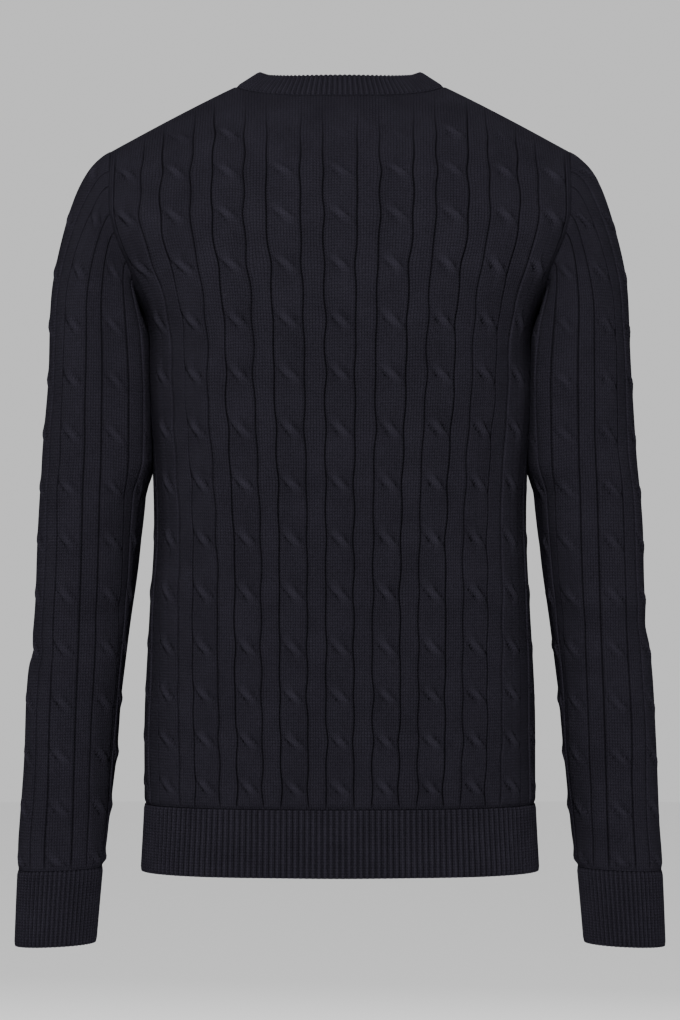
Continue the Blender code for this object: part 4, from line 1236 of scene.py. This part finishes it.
@dataclass
class SleeveForm:
    """The plain surface of the left sleeve: rounded rings below the armpit, and the sleeve head."""

    body: BodyForm
    back: PanelGrid
    front: PanelGrid
    stations: tuple[Station, ...] = (
        Station(242.5, -177, 164, -214, 56, 0),
        Station(248.5, -262, 161, -272, 53, 0),
        Station(254.5, -347, 165, -347, 48, -1),
        Station(260.5, -450, 178.5, -446, 43.5, -4),
        Station(266.5, -535, 188.5, -530, 40, -8),
        Station(271.5, -620, 198.5, -615, 36.5, -13),
        Station(274.5, -662, 203.0, -659, 35, -15.5),
        Station(277.5, -727, 209.0, -724, 34, -19),
    )
    cuff_station: int = 6
    column: float = 37.4 * MM
    half_round: float = 168 * MM  # from the outer line to the underarm seam, at the biceps
    fixed: float = 2.8  # columns beyond this one bunch up at the seam where the sleeve narrows
    cap: float = 150 * MM
    clearance: float = 0.35 * MM
    facing_round: float = 1.2 * MM
    ring_power: float = 2.15
    pressed_power: float = 3.3  # the same on the side that hangs against the body
    press: float = 6 * MM
    press_ends: tuple[float, float] = (116 * MM, 148 * MM)
    armhole_gap: float = 0.1 * MM
    head_top: float = 0.35
    head_lift: float = 0.45
    leaving: tuple[float, float] = (22 * MM, 88 * MM)
    meeting: tuple[float, float] = (95 * MM, 25 * MM)
    meeting_less: float = 70 * MM
    armpit_turn: float = 14 * MM  # over this length the armhole's outward lead turns up

    def __post_init__(self) -> None:
        """Measures the middle line through the stations."""
        table = [
            [s.outer_x, s.outer_z, s.inner_x, s.inner_z, s.half_depth, s.middle_y] for s in self.stations
        ]
        self._sizes = np.array(table).T * MM
        outer_x, outer_z, inner_x, inner_z = self._sizes[:4]
        middle = np.stack([(outer_x + inner_x) / 2, (outer_z + inner_z) / 2], axis=-1)
        self._at = travelled(middle)

    @property
    def cuff_top(self) -> float:
        """Distance of the cuff's seam below the biceps ring."""
        return float(self._at[self.cuff_station])

    @property
    def cuff_end(self) -> float:
        """Distance of the sleeve's end below the biceps ring."""
        return float(self._at[-1])

    def rings(self, row: Array, half: Half) -> Array:
        """Half rings from the outer line to the underarm seam, one for each distance down the sleeve.

        A ring is a rounded box between the sleeve's outer and inner lines. Where it would press into
        the body it follows the body's side, softly, at a small clearance.
        """
        sizes = [smooth(self._at, values, row)[:, None] for values in self._sizes]
        outer_x, outer_z, inner_x, inner_z, half_depth, middle_y = sizes
        pressed = 1 - ease(*self.press_ends, row)[:, None]
        inner_x = inner_x - self.press * pressed
        turn = np.linspace(0, math.pi, 161)
        squarer = self.ring_power + (self.pressed_power - self.ring_power) * pressed
        power = 2 / np.where(turn > math.pi / 2, squarer, self.ring_power)
        across = np.sign(np.cos(turn)) * np.abs(np.cos(turn)) ** power
        x = (outer_x + inner_x) / 2 + across * (outer_x - inner_x) / 2
        z = (outer_z + inner_z) / 2 + across * (outer_z - inner_z) / 2
        y = middle_y + half.value * np.abs(np.sin(turn)) ** power * half_depth
        least = self.body.side_x(y, z) + self.clearance
        x = (x + least + np.sqrt((x - least) ** 2 + self.facing_round**2)) / 2
        return np.stack([x, y, z], axis=-1)

    def on_ring(self, distance: Array, row: Array, half: Half) -> Array:
        """Points of the sleeve below the biceps: one row of points for each distance down it."""
        ring = self.rings(row, half)
        length = travelled(ring)
        total, fixed = length[:, -1:], self.fixed * self.column
        squeezed = fixed + (distance - fixed) * (total - fixed) / (self.half_round - fixed)
        place = np.where(distance > fixed, squeezed, distance)
        return read_lines(place / total, length / total, ring)

    def _armhole(self, share: Array, half: Half) -> tuple[Array, Array, Array]:
        """The armhole's edge from the shoulder down: points, directions that lead on, and outward ones."""
        points, normals = (self.back if half is Half.BACK else self.front).edge()
        start = int(np.argmin(np.abs(points[:, 2] - self.body.armpit)))
        points, outward = points[start:][::-1], normals[start:][::-1]
        length = travelled(points)
        even = np.linspace(0, 1, 200)
        points = read_lines(even[None], length[None] / length[-1], points[None])[0]
        outward = unit(blurred(read_lines(even[None], length[None] / length[-1], outward[None])[0], 4))
        onward = unit(np.cross(outward, unit(np.gradient(blurred(points, 3), axis=0))))
        onward = onward * np.sign(onward[:, :1] @ np.ones((1, 3)))
        onward[0] = unit(onward[0] * np.array([1, 0, 1]))
        turned = ease(0, self.armpit_turn, (1 - even) * length[-1])[:, None]
        onward = unit(onward * turned + np.array([0, 0, 1]) * (1 - turned))
        found = [read_lines(share[None], even[None], v[None])[0] for v in (points, onward, outward)]
        return found[0], unit(found[1]), unit(found[2])

    def head(self, distance: Array, row: Array, half: Half) -> Array:
        """Points of the sleeve head, for rows from minus the cap's length up to 0.

        Each line is a cubic curve that leaves the armhole's edge along the panel, fully at the rounded
        top and lifting off it below, and meets the biceps ring along the sleeve.
        """
        share = distance / self.half_round
        start, lead, out = self._armhole(share, half)
        top = (1 - ease(0, self.head_top, share))[:, None]
        pull = unit(lead + self.head_lift * (1 - top) * out) * (self.leaving[0] + self.leaving[1] * top)
        start = start + lead * self.armhole_gap
        low, below = self.on_ring(distance, np.array([0.0, 2 * MM]), half)
        reach = self.meeting[0] + self.meeting[1] * top
        reach = reach - self.meeting_less * ease(0.55, 1.0, share)[:, None]
        low_pull = unit(below - low) * reach
        part = (1 + row / self.cap)[:, None, None]
        left = 1 - part
        from_start = (1 + 2 * part) * left**2 * start + part * left**2 * pull
        return from_start + part**2 * (3 - 2 * part) * low - part**2 * left * low_pull

    def grid(self, place: Array, row: Array) -> Array:
        """The sleeve's points, by signed distance round it (positive behind) and distance down it."""
        halves = []
        for half in (Half.FRONT, Half.BACK):
            mine = place < 0 if half is Half.FRONT else place >= 0
            distance = np.abs(place[mine])
            above = self.head(distance, row[row < 0], half)
            halves.append(np.concatenate([above, self.on_ring(distance, row[row >= 0], half)]))
        points = np.concatenate(halves, axis=1)
        points[:, 0] = points[:, -1]
        return points


def tube_normals(points: Array) -> Array:
    """Outward directions of a tube's grid, whose last column repeats its first."""
    wide = np.concatenate([points[:, -4:-1], points, points[:, 1:4]], axis=1)
    centre = points[:, :-1].mean(axis=1, keepdims=True)
    return grid_normals(wide, np.broadcast_to(centre, wide.shape))[:, 3:-3]


@dataclass
class Sleeves:
    """The two sleeves in cable stitch."""

    form: SleeveForm
    stitch: CableStitch = CableStitch()
    roll: EdgeRoll = EdgeRoll()
    uneven: Unevenness = Unevenness()
    wall: float = 1.9 * MM
    pitch: float = 45.5 * MM
    first: float = 141 * MM  # a crossing's distance below the biceps ring, which fixes the others
    row_step: float = 2.85 * MM
    wales: float = 17.0
    facing_fade: tuple[float, float] = (2 * MM, 11 * MM)
    beside_body: float = 0.05  # share of folds and relief left where there is no room
    near_armhole: tuple[float, float] = (0.2 * MM, 1.1 * MM)  # extra rows next to the armhole's seam
    near_cuff: tuple[float, float] = (0.6 * MM, 1.3 * MM)  # and next to the cuff's
    relief_share: float = 0.85
    seam_fade: float = 7 * MM  # the relief grows over this stretch from a seam
    at_armhole: float = 0.5  # share of it left at the armhole
    underarm_depth: float = 0.8 * MM
    underarm_width: float = 1.6 * MM
    end_roll: float = 0.15
    course: float = 2.55 * MM
    loose_from: tuple[float, float] = (4 * MM, 30 * MM)  # folds grow over this stretch from an end
    # half a ring's length where the last cable has no room, and where it has all it needs
    narrow: tuple[float, float] = (142 * MM, 156 * MM)
    last_cable: tuple[float, float] = (1.0, 0.8)  # it fades out over these columns from the seam
    room_top: float = 12 * MM  # above the armpit, from where the sleeve has room all round
    folds: dict[Side, tuple[Fold, ...]] = field(
        default_factory=lambda: {
            Side.LEFT: (
                Fold((-30, 190), (58, 186), 9, -2.4),
                Fold((64, 205), (118, 232), 11, -2.2),
                Fold((-70, 176), (-128, 214), 12, -2.4),
                Fold((24, 336), (110, 392), 14, -2.0),
                Fold((-40, 330), (-112, 380), 14, -2.1),
                Fold((40, 60), (92, 84), 12, -1.3),
                Fold((-60, 96), (-104, 70), 12, -1.4),
            ),
            Side.RIGHT: (
                Fold((-26, 204), (46, 214), 11, -1.7),
                Fold((60, 196), (116, 226), 12, -2.0),
                Fold((-64, 186), (-122, 222), 12, -2.3),
                Fold((30, 348), (108, 398), 14, -2.1),
                Fold((-34, 322), (-116, 372), 14, -2.0),
                Fold((36, 84), (96, 66), 12, -1.4),
                Fold((-52, 74), (-108, 98), 12, -1.3),
            ),
        }
    )

    def build(self, name: str, side: Side) -> bpy.types.Object:
        """Builds one sleeve.

        Args:
            name: the piece's name.
            side: the wearer's left or right.

        Returns:
            The object.
        """
        form = self.form
        edge = form.half_round / form.column
        inside = self.stitch.columns(-edge - 0.5, edge - 0.5) + 0.5
        column = np.concatenate([[-edge], inside[(np.abs(inside) < edge - 0.01)], [edge]])
        end = form.cuff_top - form.body.seam / 2
        even = np.linspace(-form.cap, end, int((end + form.cap) / self.row_step))
        near = [np.array(self.near_armhole) - form.cap, end - np.array(self.near_cuff)]
        row = np.sort(np.concatenate([even, *near]))
        plain = form.grid(column * form.column, row)
        upward = travelled(plain[::-1], axis=-3)[::-1]
        phase = (upward - (row[-1] - self.first)) / self.pitch
        offset = (column - 0.5 - np.round(column - 0.5)) * -side.value
        keep = self._kept(plain, upward, column, edge)
        normals = tube_normals(plain)
        around = np.broadcast_to(column * form.column, upward.shape)
        loose = ease(*self.loose_from, np.minimum(upward, travelled(plain, axis=-3)))
        soft = fold_depth(self.folds[side], around, upward)
        soft = soft + self.uneven.depth(around * side.value, upward)
        facing = self._room(plain)
        plain = plain + normals * (soft * loose * facing)[..., None]
        plain[:, 0] = plain[:, -1]
        normals = tube_normals(plain)
        near_end = np.minimum(upward, travelled(plain, axis=-3))
        relief = self.stitch.rise(offset, phase) * keep
        seam = (edge - np.abs(column)) * form.column
        underarm = self.underarm_depth * hump(seam, self.underarm_width)
        rise = relief + self.roll.dip(near_end) * self.end_roll - underarm
        rise[:, 0] = rise[:, -1]
        stitches = np.stack([around / form.column * self.wales, upward / self.course], axis=-1)
        mirror = np.array([side.value, 1, 1])
        outer, inner = plain + normals * rise[..., None], plain - normals * self.wall
        shown = relief / self.stitch.plateau
        return Wall(outer * mirror, inner * mirror, stitches, shown, tube=True).build(name)

    def _room(self, plain: Array) -> Array:
        """Share of folds and relief left by the room between the sleeve and the body's side."""
        body = self.form.body
        clear = plain[..., 0] - body.side_x(plain[..., 1], plain[..., 2])
        facing = self.beside_body + (1 - self.beside_body) * ease(*self.facing_fade, clear)
        return np.where(plain[..., 2] < body.armpit + self.room_top, facing, 1)

    def _kept(self, plain: Array, upward: Array, column: Array, edge: float) -> Array:
        """Share of the relief that is kept: less by the armhole, the cuff, the body and the seam."""
        from_armhole = np.linalg.norm(plain - plain[:1], axis=2)
        keep = self.at_armhole + (1 - self.at_armhole) * ease(0, self.seam_fade, from_armhole)
        keep = keep * ease(0, self.seam_fade, upward) * self._room(plain)
        total = travelled(plain, axis=-2)[:, -1:] / 2
        near_seam = ease(edge - self.last_cable[0], edge - self.last_cable[1], np.abs(column))
        return self.relief_share * keep * (1 - near_seam * (1 - ease(*self.narrow, total)))


# ---------------------------------------------------------------- ribs
@dataclass
class RibPiece:
    """A strip or a tube of rib on a plain grid whose columns follow the ribs."""

    rib: RibStitch
    wall: float = 1.9 * MM
    roll: EdgeRoll = EdgeRoll(0.8 * MM, 2.6 * MM)
    round_by: float = 0.7 * MM  # how far a free edge is rounded off
    round_width: float = 2.2 * MM
    course: float = 2.4 * MM
    near: tuple[float, float] = (0.9 * MM, 1.0 * MM)  # extra rows inside the free and the sewn end

    def edged(self, rows: Array) -> Array:
        """Evenly spaced rows, free end first, with one more just inside each end."""
        way = np.sign(rows[-1] - rows[0])
        return np.insert(rows, [1, -1], [rows[0] + way * self.near[0], rows[-1] - way * self.near[1]])

    def build(
        self, name: str, plain: Array, normals: Array, ribs: Array, keep: Array, sewn: tuple[bool, bool],
        tube: bool = False, mirror: int = 1,
    ) -> bpy.types.Object:
        """Builds the piece.

        Args:
            name: the piece's name.
            plain: grid of its plain points.
            normals: outward directions there.
            ribs: each column's place, in ribs.
            keep: share of the relief kept, on the grid.
            sewn: whether the first and the last row are sewn to a neighbour.
            tube: whether it is a tube.
            mirror: -1 for a piece that is built on the left and stands on the right.

        Returns:
            The object.
        """
        up = travelled(plain, axis=-3)
        rise = relief = self.rib.rise(ribs) * keep
        for distance, is_sewn in ((up, sewn[0]), (up[-1:] - up, sewn[1])):
            rise = rise + self.roll.dip(distance) if is_sewn else rise
            rounded = self.round_by * (1 - ease(0, self.round_width, distance))
            rise = rise if is_sewn else rise - rounded
        stitches = np.stack([np.broadcast_to(ribs * 2 + 0.5, up.shape), up / self.course], axis=-1)
        outer, inner = plain + normals * rise[..., None], plain - normals * self.wall
        flip = np.array([mirror, 1, 1])
        made = Wall(outer * flip, inner * flip, stitches, relief / self.rib.rise_by, tube, (4, 8))
        return made.build(name)


@dataclass
class Hems:
    """The rib hem: all round the back, and from the front bands to the side seams."""

    form: BodyForm
    piece: RibPiece = field(default_factory=lambda: RibPiece(RibStitch(4.9 * MM, 1.0 * MM, 0.5 * MM)))
    rows: int = 16
    sway: float = 1.2 * MM  # how far the lower edge swings in and out
    waves: float = 52.0  # radians of that swing to a metre
    sway_up: float = 50 * MM  # it fades out over this height
    sway_sides: float = 30 * MM  # and over this length next to a seam
    middle: tuple[float, float, float] = (0, 0, -0.6)  # a place inside, that the hem faces away from

    def build(self, name: str, half: Half, side: Side | None) -> bpy.types.Object:
        """Builds one stretch of the hem.

        Args:
            name: the piece's name.
            half: back or front.
            side: the wearer's side of a front stretch, and None for the back.

        Returns:
            The object.
        """
        form = self.form
        z = self.piece.edged(np.linspace(form.hem_bottom, form.hem_top - form.seam / 2, self.rows))
        end = form.section_length(z, half) - form.seam / 2
        start = -end
        if side is not None:
            turn = np.arcsin(form.front_edge / form.half_width(z))
            fine = np.linspace(0, 1, 20) * turn[:, None]
            start = travelled(form.point(fine, np.broadcast_to(z[:, None], fine.shape), half))[:, -1]
        count = self.piece.rib.count(float((end - start)[-1]))
        share = np.linspace(0, 1, count * self.piece.rib.samples + 1)
        place = start[:, None] + (end - start)[:, None] * share
        height = np.broadcast_to(z[:, None], place.shape)
        turn = np.sign(place) * form.turn_at(np.abs(place), height, half)
        plain = form.point(turn, height, half)
        plain[..., 1] = half.value * np.maximum(half.value * plain[..., 1], form.half_gap)
        wave = np.sin(plain[..., 0] * self.waves + 0.6 + half.value)
        sway = self.sway * wave * ease(0, self.sway_up, form.hem_top - height)
        normals = grid_normals(plain, self.middle)
        inside = ease(0, self.sway_sides, np.minimum(place - start[:, None], end[:, None] - place))
        plain = plain + normals * (sway * inside)[..., None]
        normals = grid_normals(plain, self.middle)
        keep = np.ones(place.shape)
        mirror = side.value if side else 1
        return self.piece.build(name, plain, normals, share * count, keep, (False, True), False, mirror)


@dataclass
class Cuffs:
    """The rib cuffs."""

    form: SleeveForm
    piece: RibPiece = field(default_factory=lambda: RibPiece(RibStitch(4.0 * MM, 0.9 * MM, 0.4 * MM)))
    rows: int = 18

    def build(self, name: str, side: Side) -> bpy.types.Object:
        """Builds one cuff as a tube: its rows are rings of the sleeve's own form."""
        form = self.form
        row = np.linspace(form.cuff_end, form.cuff_top + form.body.seam / 2, self.rows)
        row = self.piece.edged(row)
        front, back = form.rings(row, Half.FRONT), form.rings(row, Half.BACK)
        ring = np.concatenate([front[:, ::-1], back[:, 1:]], axis=1)
        length = travelled(ring)
        count = self.piece.rib.count(float(length[-1, -1]))
        share = np.linspace(0, 1, count * self.piece.rib.samples + 1)
        plain = read_lines(np.broadcast_to(share, (len(row), len(share))), length / length[:, -1:], ring)
        plain[:, -1] = plain[:, 0]
        normals = tube_normals(plain)
        keep = np.ones(plain.shape[:2])
        return self.piece.build(name, plain, normals, share * count, keep, (False, True), True, side.value)


@dataclass
class Bands:
    """The picked-up rib round the neck and down both fronts."""

    form: BodyForm
    piece: RibPiece = field(default_factory=lambda: RibPiece(RibStitch(4.6 * MM, 0.85 * MM, 0.35 * MM)))
    width: float = 24 * MM
    lap: float = 3.6 * MM
    lap_ends: tuple[float, float] = (-168 * MM, -110 * MM)
    end_across: tuple[float, float] = (0.84, 0.54)  # inwards and up, where two bands meet on a shoulder
    end_turn: float = 34 * MM  # over this length a band turns to that direction
    rows: int = 9
    near: tuple[float, float] = (0.035, 0.965)  # extra rows, as shares of the way across
    fine: float = 1.0 * MM
    blur: int = 9  # steps of the fine line over which its directions are evened out
    line_blur: int = 6
    straight: float = 30 * MM  # over this length below the V's foot the band turns to follow it
    covered: tuple[float, float] = (10 * MM, 3 * MM)  # below and above the V's foot: ribs fade where covered

    def neckband(self, name: str, back: PanelGrid) -> bpy.types.Object:
        """The collar round the back neck, between the neck points of the shoulders."""
        inside = np.abs(back.columns) <= self.form.neck_column + 0.01
        points, normals = back.plain[-1, inside].copy(), back.normals[-1, inside]
        points[[0, -1], 1] = self.form.half_gap
        hint = np.array([0.0, -1.0, 0.3]) - points * np.array([8, 0, 0])
        return self._strip(name, points, normals, hint, None, True)

    def front(self, name: str, panel: PanelGrid, side: Side) -> bpy.types.Object:
        """A front band: up the straight front edge, then along the V to the shoulder.

        The left one lies over the right one, whose ribs stop where it is covered.
        """
        on_v = np.abs(panel.columns) <= self.form.neck_column + 0.01
        foot_z = np.array([self.form.hem_bottom])
        turn = np.arcsin(self.form.front_edge / self.form.half_width(foot_z)) * side.value
        foot = self.form.point(turn, foot_z, Half.FRONT)
        points = np.vstack([foot, panel.plain[:, 0], panel.plain[-1, on_v][1:]])
        normals = np.vstack([panel.normals[:1, 0], panel.normals[:, 0], panel.normals[-1, on_v][1:]])
        points[-1, 1] = -self.form.half_gap
        hint = np.broadcast_to(np.array([-side.value, 0.0, 0.6]), points.shape)
        return self._strip(name, points, normals, hint, side, False)

    def _strip(
        self, name: str, points: Array, normals: Array, hint: Array, side: Side | None, both: bool
    ) -> bpy.types.Object:
        """A rib strip sewn along a line of root points, with its ribs across it.

        Args:
            name: the piece's name.
            points: the line.
            normals: outward directions along it.
            hint: roughly the direction across the strip.
            side: which front, and None for the neckband.
            both: whether both ends lie on a shoulder seam, or only the last one.

        Returns:
            The object.
        """
        length = travelled(points)
        count = self.piece.rib.count(length[-1])
        fine = np.linspace(0, 1, int(length[-1] / self.fine))
        line, out, aim = (
            read_lines(fine[None], length[None] / length[-1], v[None])[0] for v in (points, normals, hint)
        )
        out = unit(blurred(out, self.blur))
        along = unit(np.gradient(blurred(line, self.line_blur), axis=0))
        across = unit(np.cross(out, along))
        across = across * np.sign(np.sum(across * aim, axis=1, keepdims=True))
        if side is not None:
            foot = self.form.v_bottom
            straight = ease(foot - self.straight, foot, line[:, 2])[:, None]
            across = unit(across * straight + np.array([-side.value, 0, 0]) * (1 - straight))
        across = unit(blurred(across, self.blur))
        for end in (0, -1) if both else (-1,):
            near = ease(0, self.end_turn, np.abs(fine - fine[end]) * length[-1])[:, None]
            meeting = np.array([-np.sign(line[end, 0]) * self.end_across[0], 0, self.end_across[1]])
            across = unit(across * near + meeting * (1 - near))
        share = np.linspace(0, 1, count * self.piece.rib.samples + 1)
        root, out, across = (read_lines(share[None], fine[None], v[None])[0] for v in (line, out, across))
        out, across = unit(out), unit(across)
        lapped = 1 - ease(*self.lap_ends, root[:, 2]) if side is not None else np.zeros(len(root))
        lift = self.lap * lapped * (side.value if side is not None else 0)
        over = np.sort(np.append(np.linspace(0, 1, self.rows), self.near))[:, None, None]
        reach = self.form.seam + (self.width - self.form.seam) * over
        plain = root + across * reach + out * lift[:, None] * over
        keep = np.ones(plain.shape[:2])
        if side is Side.RIGHT:
            foot = self.form.v_bottom
            keep = keep * ease(foot - self.covered[0], foot + self.covered[1], root[:, 2])
        outward = np.broadcast_to(out, plain.shape)
        return self.piece.build(name, plain, outward, share * count, keep, (True, False))


# ---------------------------------------------------------------- buttons
@dataclass
class Buttons:
    """Round four-hole buttons with a raised rim, their thread and the stitched buttonholes."""

    form: BodyForm
    count: int = 6
    top: float = -232 * MM
    step: float = 80 * MM
    radius: float = 9 * MM
    thick: float = 3.2 * MM
    lap: float = 3.6 * MM
    band: float = 24 * MM
    lying_on: float = 3.0 * MM
    sides: int = 72
    hole_at: float = 1.65 * MM
    hole_radius: float = 0.85 * MM
    hole_depth: float = 2.1 * MM
    pit_edge: tuple[float, float] = (0.75, 1.15)  # a pit's wall, in hole radii
    thread: float = 0.34 * MM
    thread_apart: float = 0.33 * MM  # half the distance between a hole's two threads
    thread_lift: float = 0.55 * MM
    thread_dip: float = 1.7 * MM  # how far it goes down into the holes
    face_height: float = 0.70  # of the button between its holes, as a share of its thickness
    slit_half: float = 11.2 * MM
    slit_width: float = 1.0 * MM
    slit_edge: float = 0.5 * MM
    slit_sunk: float = 0.35 * MM
    face: tuple[tuple[float, float], ...] = (
        (0.0, 0.70), (0.5, 0.70), (0.66, 0.72), (0.78, 0.95), (0.86, 1.0), (0.94, 0.92), (1.0, 0.65),
    )
    back: tuple[tuple[float, float], ...] = (
        (0.995, 0.5), (0.95, 0.3), (0.86, 0.1), (0.72, 0.0), (0.4, 0.0), (0.03, 0.0),
    )
    face_rings: int = 30

    def _frame(self, number: int) -> tuple[Array, Array, Array, Array]:
        """A button's place and its three directions: sideways, up and out. It tilts with its band."""
        z = np.array(self.top - (number - 1) * self.step)
        place = self.form.point(np.array(0.0), z, Half.FRONT)
        slope = unit(self.form.point(np.array(0.0), z + 1 * MM, Half.FRONT) - place)
        out = unit(np.array([self.lap / self.band, -slope[2], slope[1]]))
        up = unit(np.cross(out, (-1.0, 0.0, 0.0)))
        return place, np.cross(up, out), up, out

    def button(self, number: int) -> bpy.types.Object:
        """Builds a button: rings of a turned profile, with four round pits pressed into its face."""
        place, sideways, up, out = self._frame(number)
        knots, heights = np.array(self.face).T
        radius = np.linspace(0.03, 1, self.face_rings)
        height = smooth(knots, heights, radius) * self.thick
        radius = np.append(radius, [r for r, _ in self.back]) * self.radius
        height = np.append(height, [h * self.thick for _, h in self.back])
        turn = 2 * math.pi * np.arange(self.sides) / self.sides
        x, y = radius[:, None] * np.cos(turn), radius[:, None] * np.sin(turn)
        off = np.hypot(np.abs(x) - self.hole_at, np.abs(y) - self.hole_at)
        low, high = self.pit_edge
        pit = self.hole_depth * (1 - ease(self.hole_radius * low, self.hole_radius * high, off))
        pit[self.face_rings :] = 0
        rise = self.lying_on + height[:, None] - pit
        points = place + x[..., None] * sideways + y[..., None] * up + rise[..., None] * out
        ids = np.arange(x.size).reshape(x.shape)
        ids = np.hstack([ids, ids[:, :1]])
        blocks = [Wall.squares(ids), ids[:1, :-1][:, ::-1], ids[-1:, :-1]]
        made = mesh_object(f"button_{number}_turned", points.reshape(-1, 3), blocks)
        if signed_volume(made.data) < 0:
            made.data.flip_normals()
        return made

    def stitches(self, number: int) -> bpy.types.Object:
        """Builds the thread through a button's holes and the stitched edge of its buttonhole."""
        place, sideways, up, out = self._frame(number)
        parts = []
        t = np.linspace(-1, 1, 9)
        for row in (-1, 1):
            for gap in (-self.thread_apart, self.thread_apart):
                x = t * self.hole_at
                y = row * self.hole_at + gap
                z = self.lying_on + self.thick * self.face_height + self.thread_lift
                z = z - self.thread_dip * np.abs(t) ** 6
                path = place + x[:, None] * sideways + y * up + z[:, None] * out
                parts.append(tube(path, self.thread, 8, False))
        turn = 2 * math.pi * np.arange(64) / 64
        ring_x = self.slit_width * np.cos(turn)
        ring_y = self.slit_half * np.sign(np.sin(turn)) * np.abs(np.sin(turn)) ** 0.5
        lift = self.lying_on - self.slit_sunk
        path = place + ring_x[:, None] * sideways + ring_y[:, None] * up + lift * out
        parts.append(tube(path, self.slit_edge, 8, True))
        points, blocks, first = [], [], 0
        for part_points, part_blocks in parts:
            points.append(part_points)
            blocks += [block + first for block in part_blocks]
            first += len(part_points)
        made = mesh_object(f"button_{number}_thread", np.vstack(points), blocks)
        if signed_volume(made.data) < 0:
            made.data.flip_normals()
        return made


# ---------------------------------------------------------------- the studio
@dataclass(frozen=True)
class Lamp:
    """A square soft light: where it stands, the length of its side and its power in watts."""

    name: str
    place: tuple[float, float, float]
    size: float
    watts: float


@dataclass
class Studio:
    """A pale floor and world, soft lights all round and the camera behind the wearer's back."""

    middle: Vector = field(default_factory=lambda: Vector((0, 0, -0.355)))
    camera_distance: float = 3.5
    lens: float = 145.3
    floor_radius: float = 12.0
    floor_height: float = -1.45
    world: float = 0.76
    pale: Colour = (0.88, 0.88, 0.88, 1)
    lamps: tuple[Lamp, ...] = (
        Lamp("key", (0.3, 2.6, 1.5), 1.0, 335),
        Lamp("fill", (-0.7, 3.8, 0.9), 1.6, 80),
        Lamp("front_key", (-0.6, -3.2, 2.1), 1.2, 480),
        Lamp("front_fill", (1.2, -3.6, 0.5), 1.6, 100),
        Lamp("left_side", (3.3, -0.3, 0.3), 1.3, 90),
        Lamp("right_side", (-3.3, -0.3, 0.3), 1.3, 60),
    )

    def build(self) -> None:
        """Builds the floor, the world, the lights and the camera."""
        turn = 2 * math.pi * np.arange(64) / 64
        points = np.stack([np.cos(turn), np.sin(turn), np.zeros(64)], axis=-1) * self.floor_radius
        floor = mesh_object("floor", points + np.array([0, 0, self.floor_height]), [np.arange(64)[None]])
        shader = Shader("floor")
        shader.surface.inputs["Base Color"].default_value = self.pale
        shader.set(Roughness=0.9)
        floor.data.materials.append(shader.material)
        world = bpy.data.worlds.new("studio")
        world.use_nodes = True
        background = world.node_tree.nodes["Background"]
        background.inputs["Color"].default_value = (1, 1, 1, 1)
        background.inputs["Strength"].default_value = self.world
        bpy.context.scene.world = world
        [self._light(lamp) for lamp in self.lamps]
        self._camera()

    def _light(self, lamp: Lamp) -> bpy.types.Object:
        """Adds a light, turned to the middle of the garment."""
        data = bpy.data.lights.new(lamp.name, "AREA")
        data.energy, data.size = lamp.watts, lamp.size
        light = bpy.data.objects.new(lamp.name, data)
        light.location = lamp.place
        light.rotation_euler = (self.middle - Vector(lamp.place)).to_track_quat("-Z", "Y").to_euler()
        bpy.context.scene.collection.objects.link(light)
        return light

    def _camera(self) -> None:
        """The camera, square behind the garment's back, whose long side is the picture's height."""
        data = bpy.data.cameras.new("camera")
        data.sensor_fit, data.sensor_width, data.lens = "AUTO", 36, self.lens
        camera = bpy.data.objects.new("camera", data)
        camera.location = self.middle + Vector((0, self.camera_distance, 0))
        camera.rotation_euler = Vector((0, -1, 0)).to_track_quat("-Z", "Y").to_euler()
        bpy.context.scene.collection.objects.link(camera)
        bpy.context.scene.camera = camera


def cloth_area(piece: bpy.types.Object) -> float:
    """Half the surface of a closed wall: its cloth with relief and folds, and half its rims."""
    areas = np.zeros(len(piece.data.polygons))
    piece.data.polygons.foreach_get("area", areas)
    return float(areas.sum()) / 2


def main() -> None:
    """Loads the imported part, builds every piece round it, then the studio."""
    logging.basicConfig(level=logging.INFO, format="%(name)s %(message)s")
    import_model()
    form = BodyForm()
    dresser = Dresser(
        KnitFinish("navy_cable_knit").material(),
        KnitFinish("navy_rib_knit", high=(0.0114, 0.0105, 0.0146, 1), lean=0.5).material(),
        ButtonFinish().material(),
        ThreadFinish().material(),
    )
    panels = Panels(form)
    back, back_grid = panels.build("back_knit", Half.BACK, None)
    dresser.cloth(back, Slot.CABLE)
    front_grids = {}
    for side in Side:
        front, front_grids[side] = panels.build(f"front_{side.word}_knit", Half.FRONT, side)
        dresser.cloth(front, Slot.CABLE)
    sleeve_form = SleeveForm(form, back_grid, front_grids[Side.LEFT])
    for side in Side:
        sleeve = Sleeves(sleeve_form).build(f"sleeve_{side.word}_knit", side)
        dresser.cloth(sleeve, Slot.CABLE)
        cuff = Cuffs(sleeve_form).build(f"cuff_{side.word}_knit", side)
        dresser.cloth(cuff, Slot.RIB)
    hems = Hems(form)
    dresser.cloth(hems.build("hem_back_knit", Half.BACK, None), Slot.RIB)
    for side in Side:
        hem = hems.build(f"hem_front_{side.word}_knit", Half.FRONT, side)
        dresser.cloth(hem, Slot.RIB)
    bands = Bands(form)
    dresser.cloth(bands.neckband("neckband_knit", back_grid), Slot.RIB)
    for side in Side:
        band = bands.front(f"band_{side.word}_knit", front_grids[side], side)
        dresser.cloth(band, Slot.RIB)
    buttons = Buttons(form)
    for number in range(1, buttons.count + 1):
        dresser.trim(buttons.button(number), dresser.button, f"button_{number}")
        dresser.trim(buttons.stitches(number), dresser.thread)
    Studio().build()


if __name__ == "__main__":
    main()
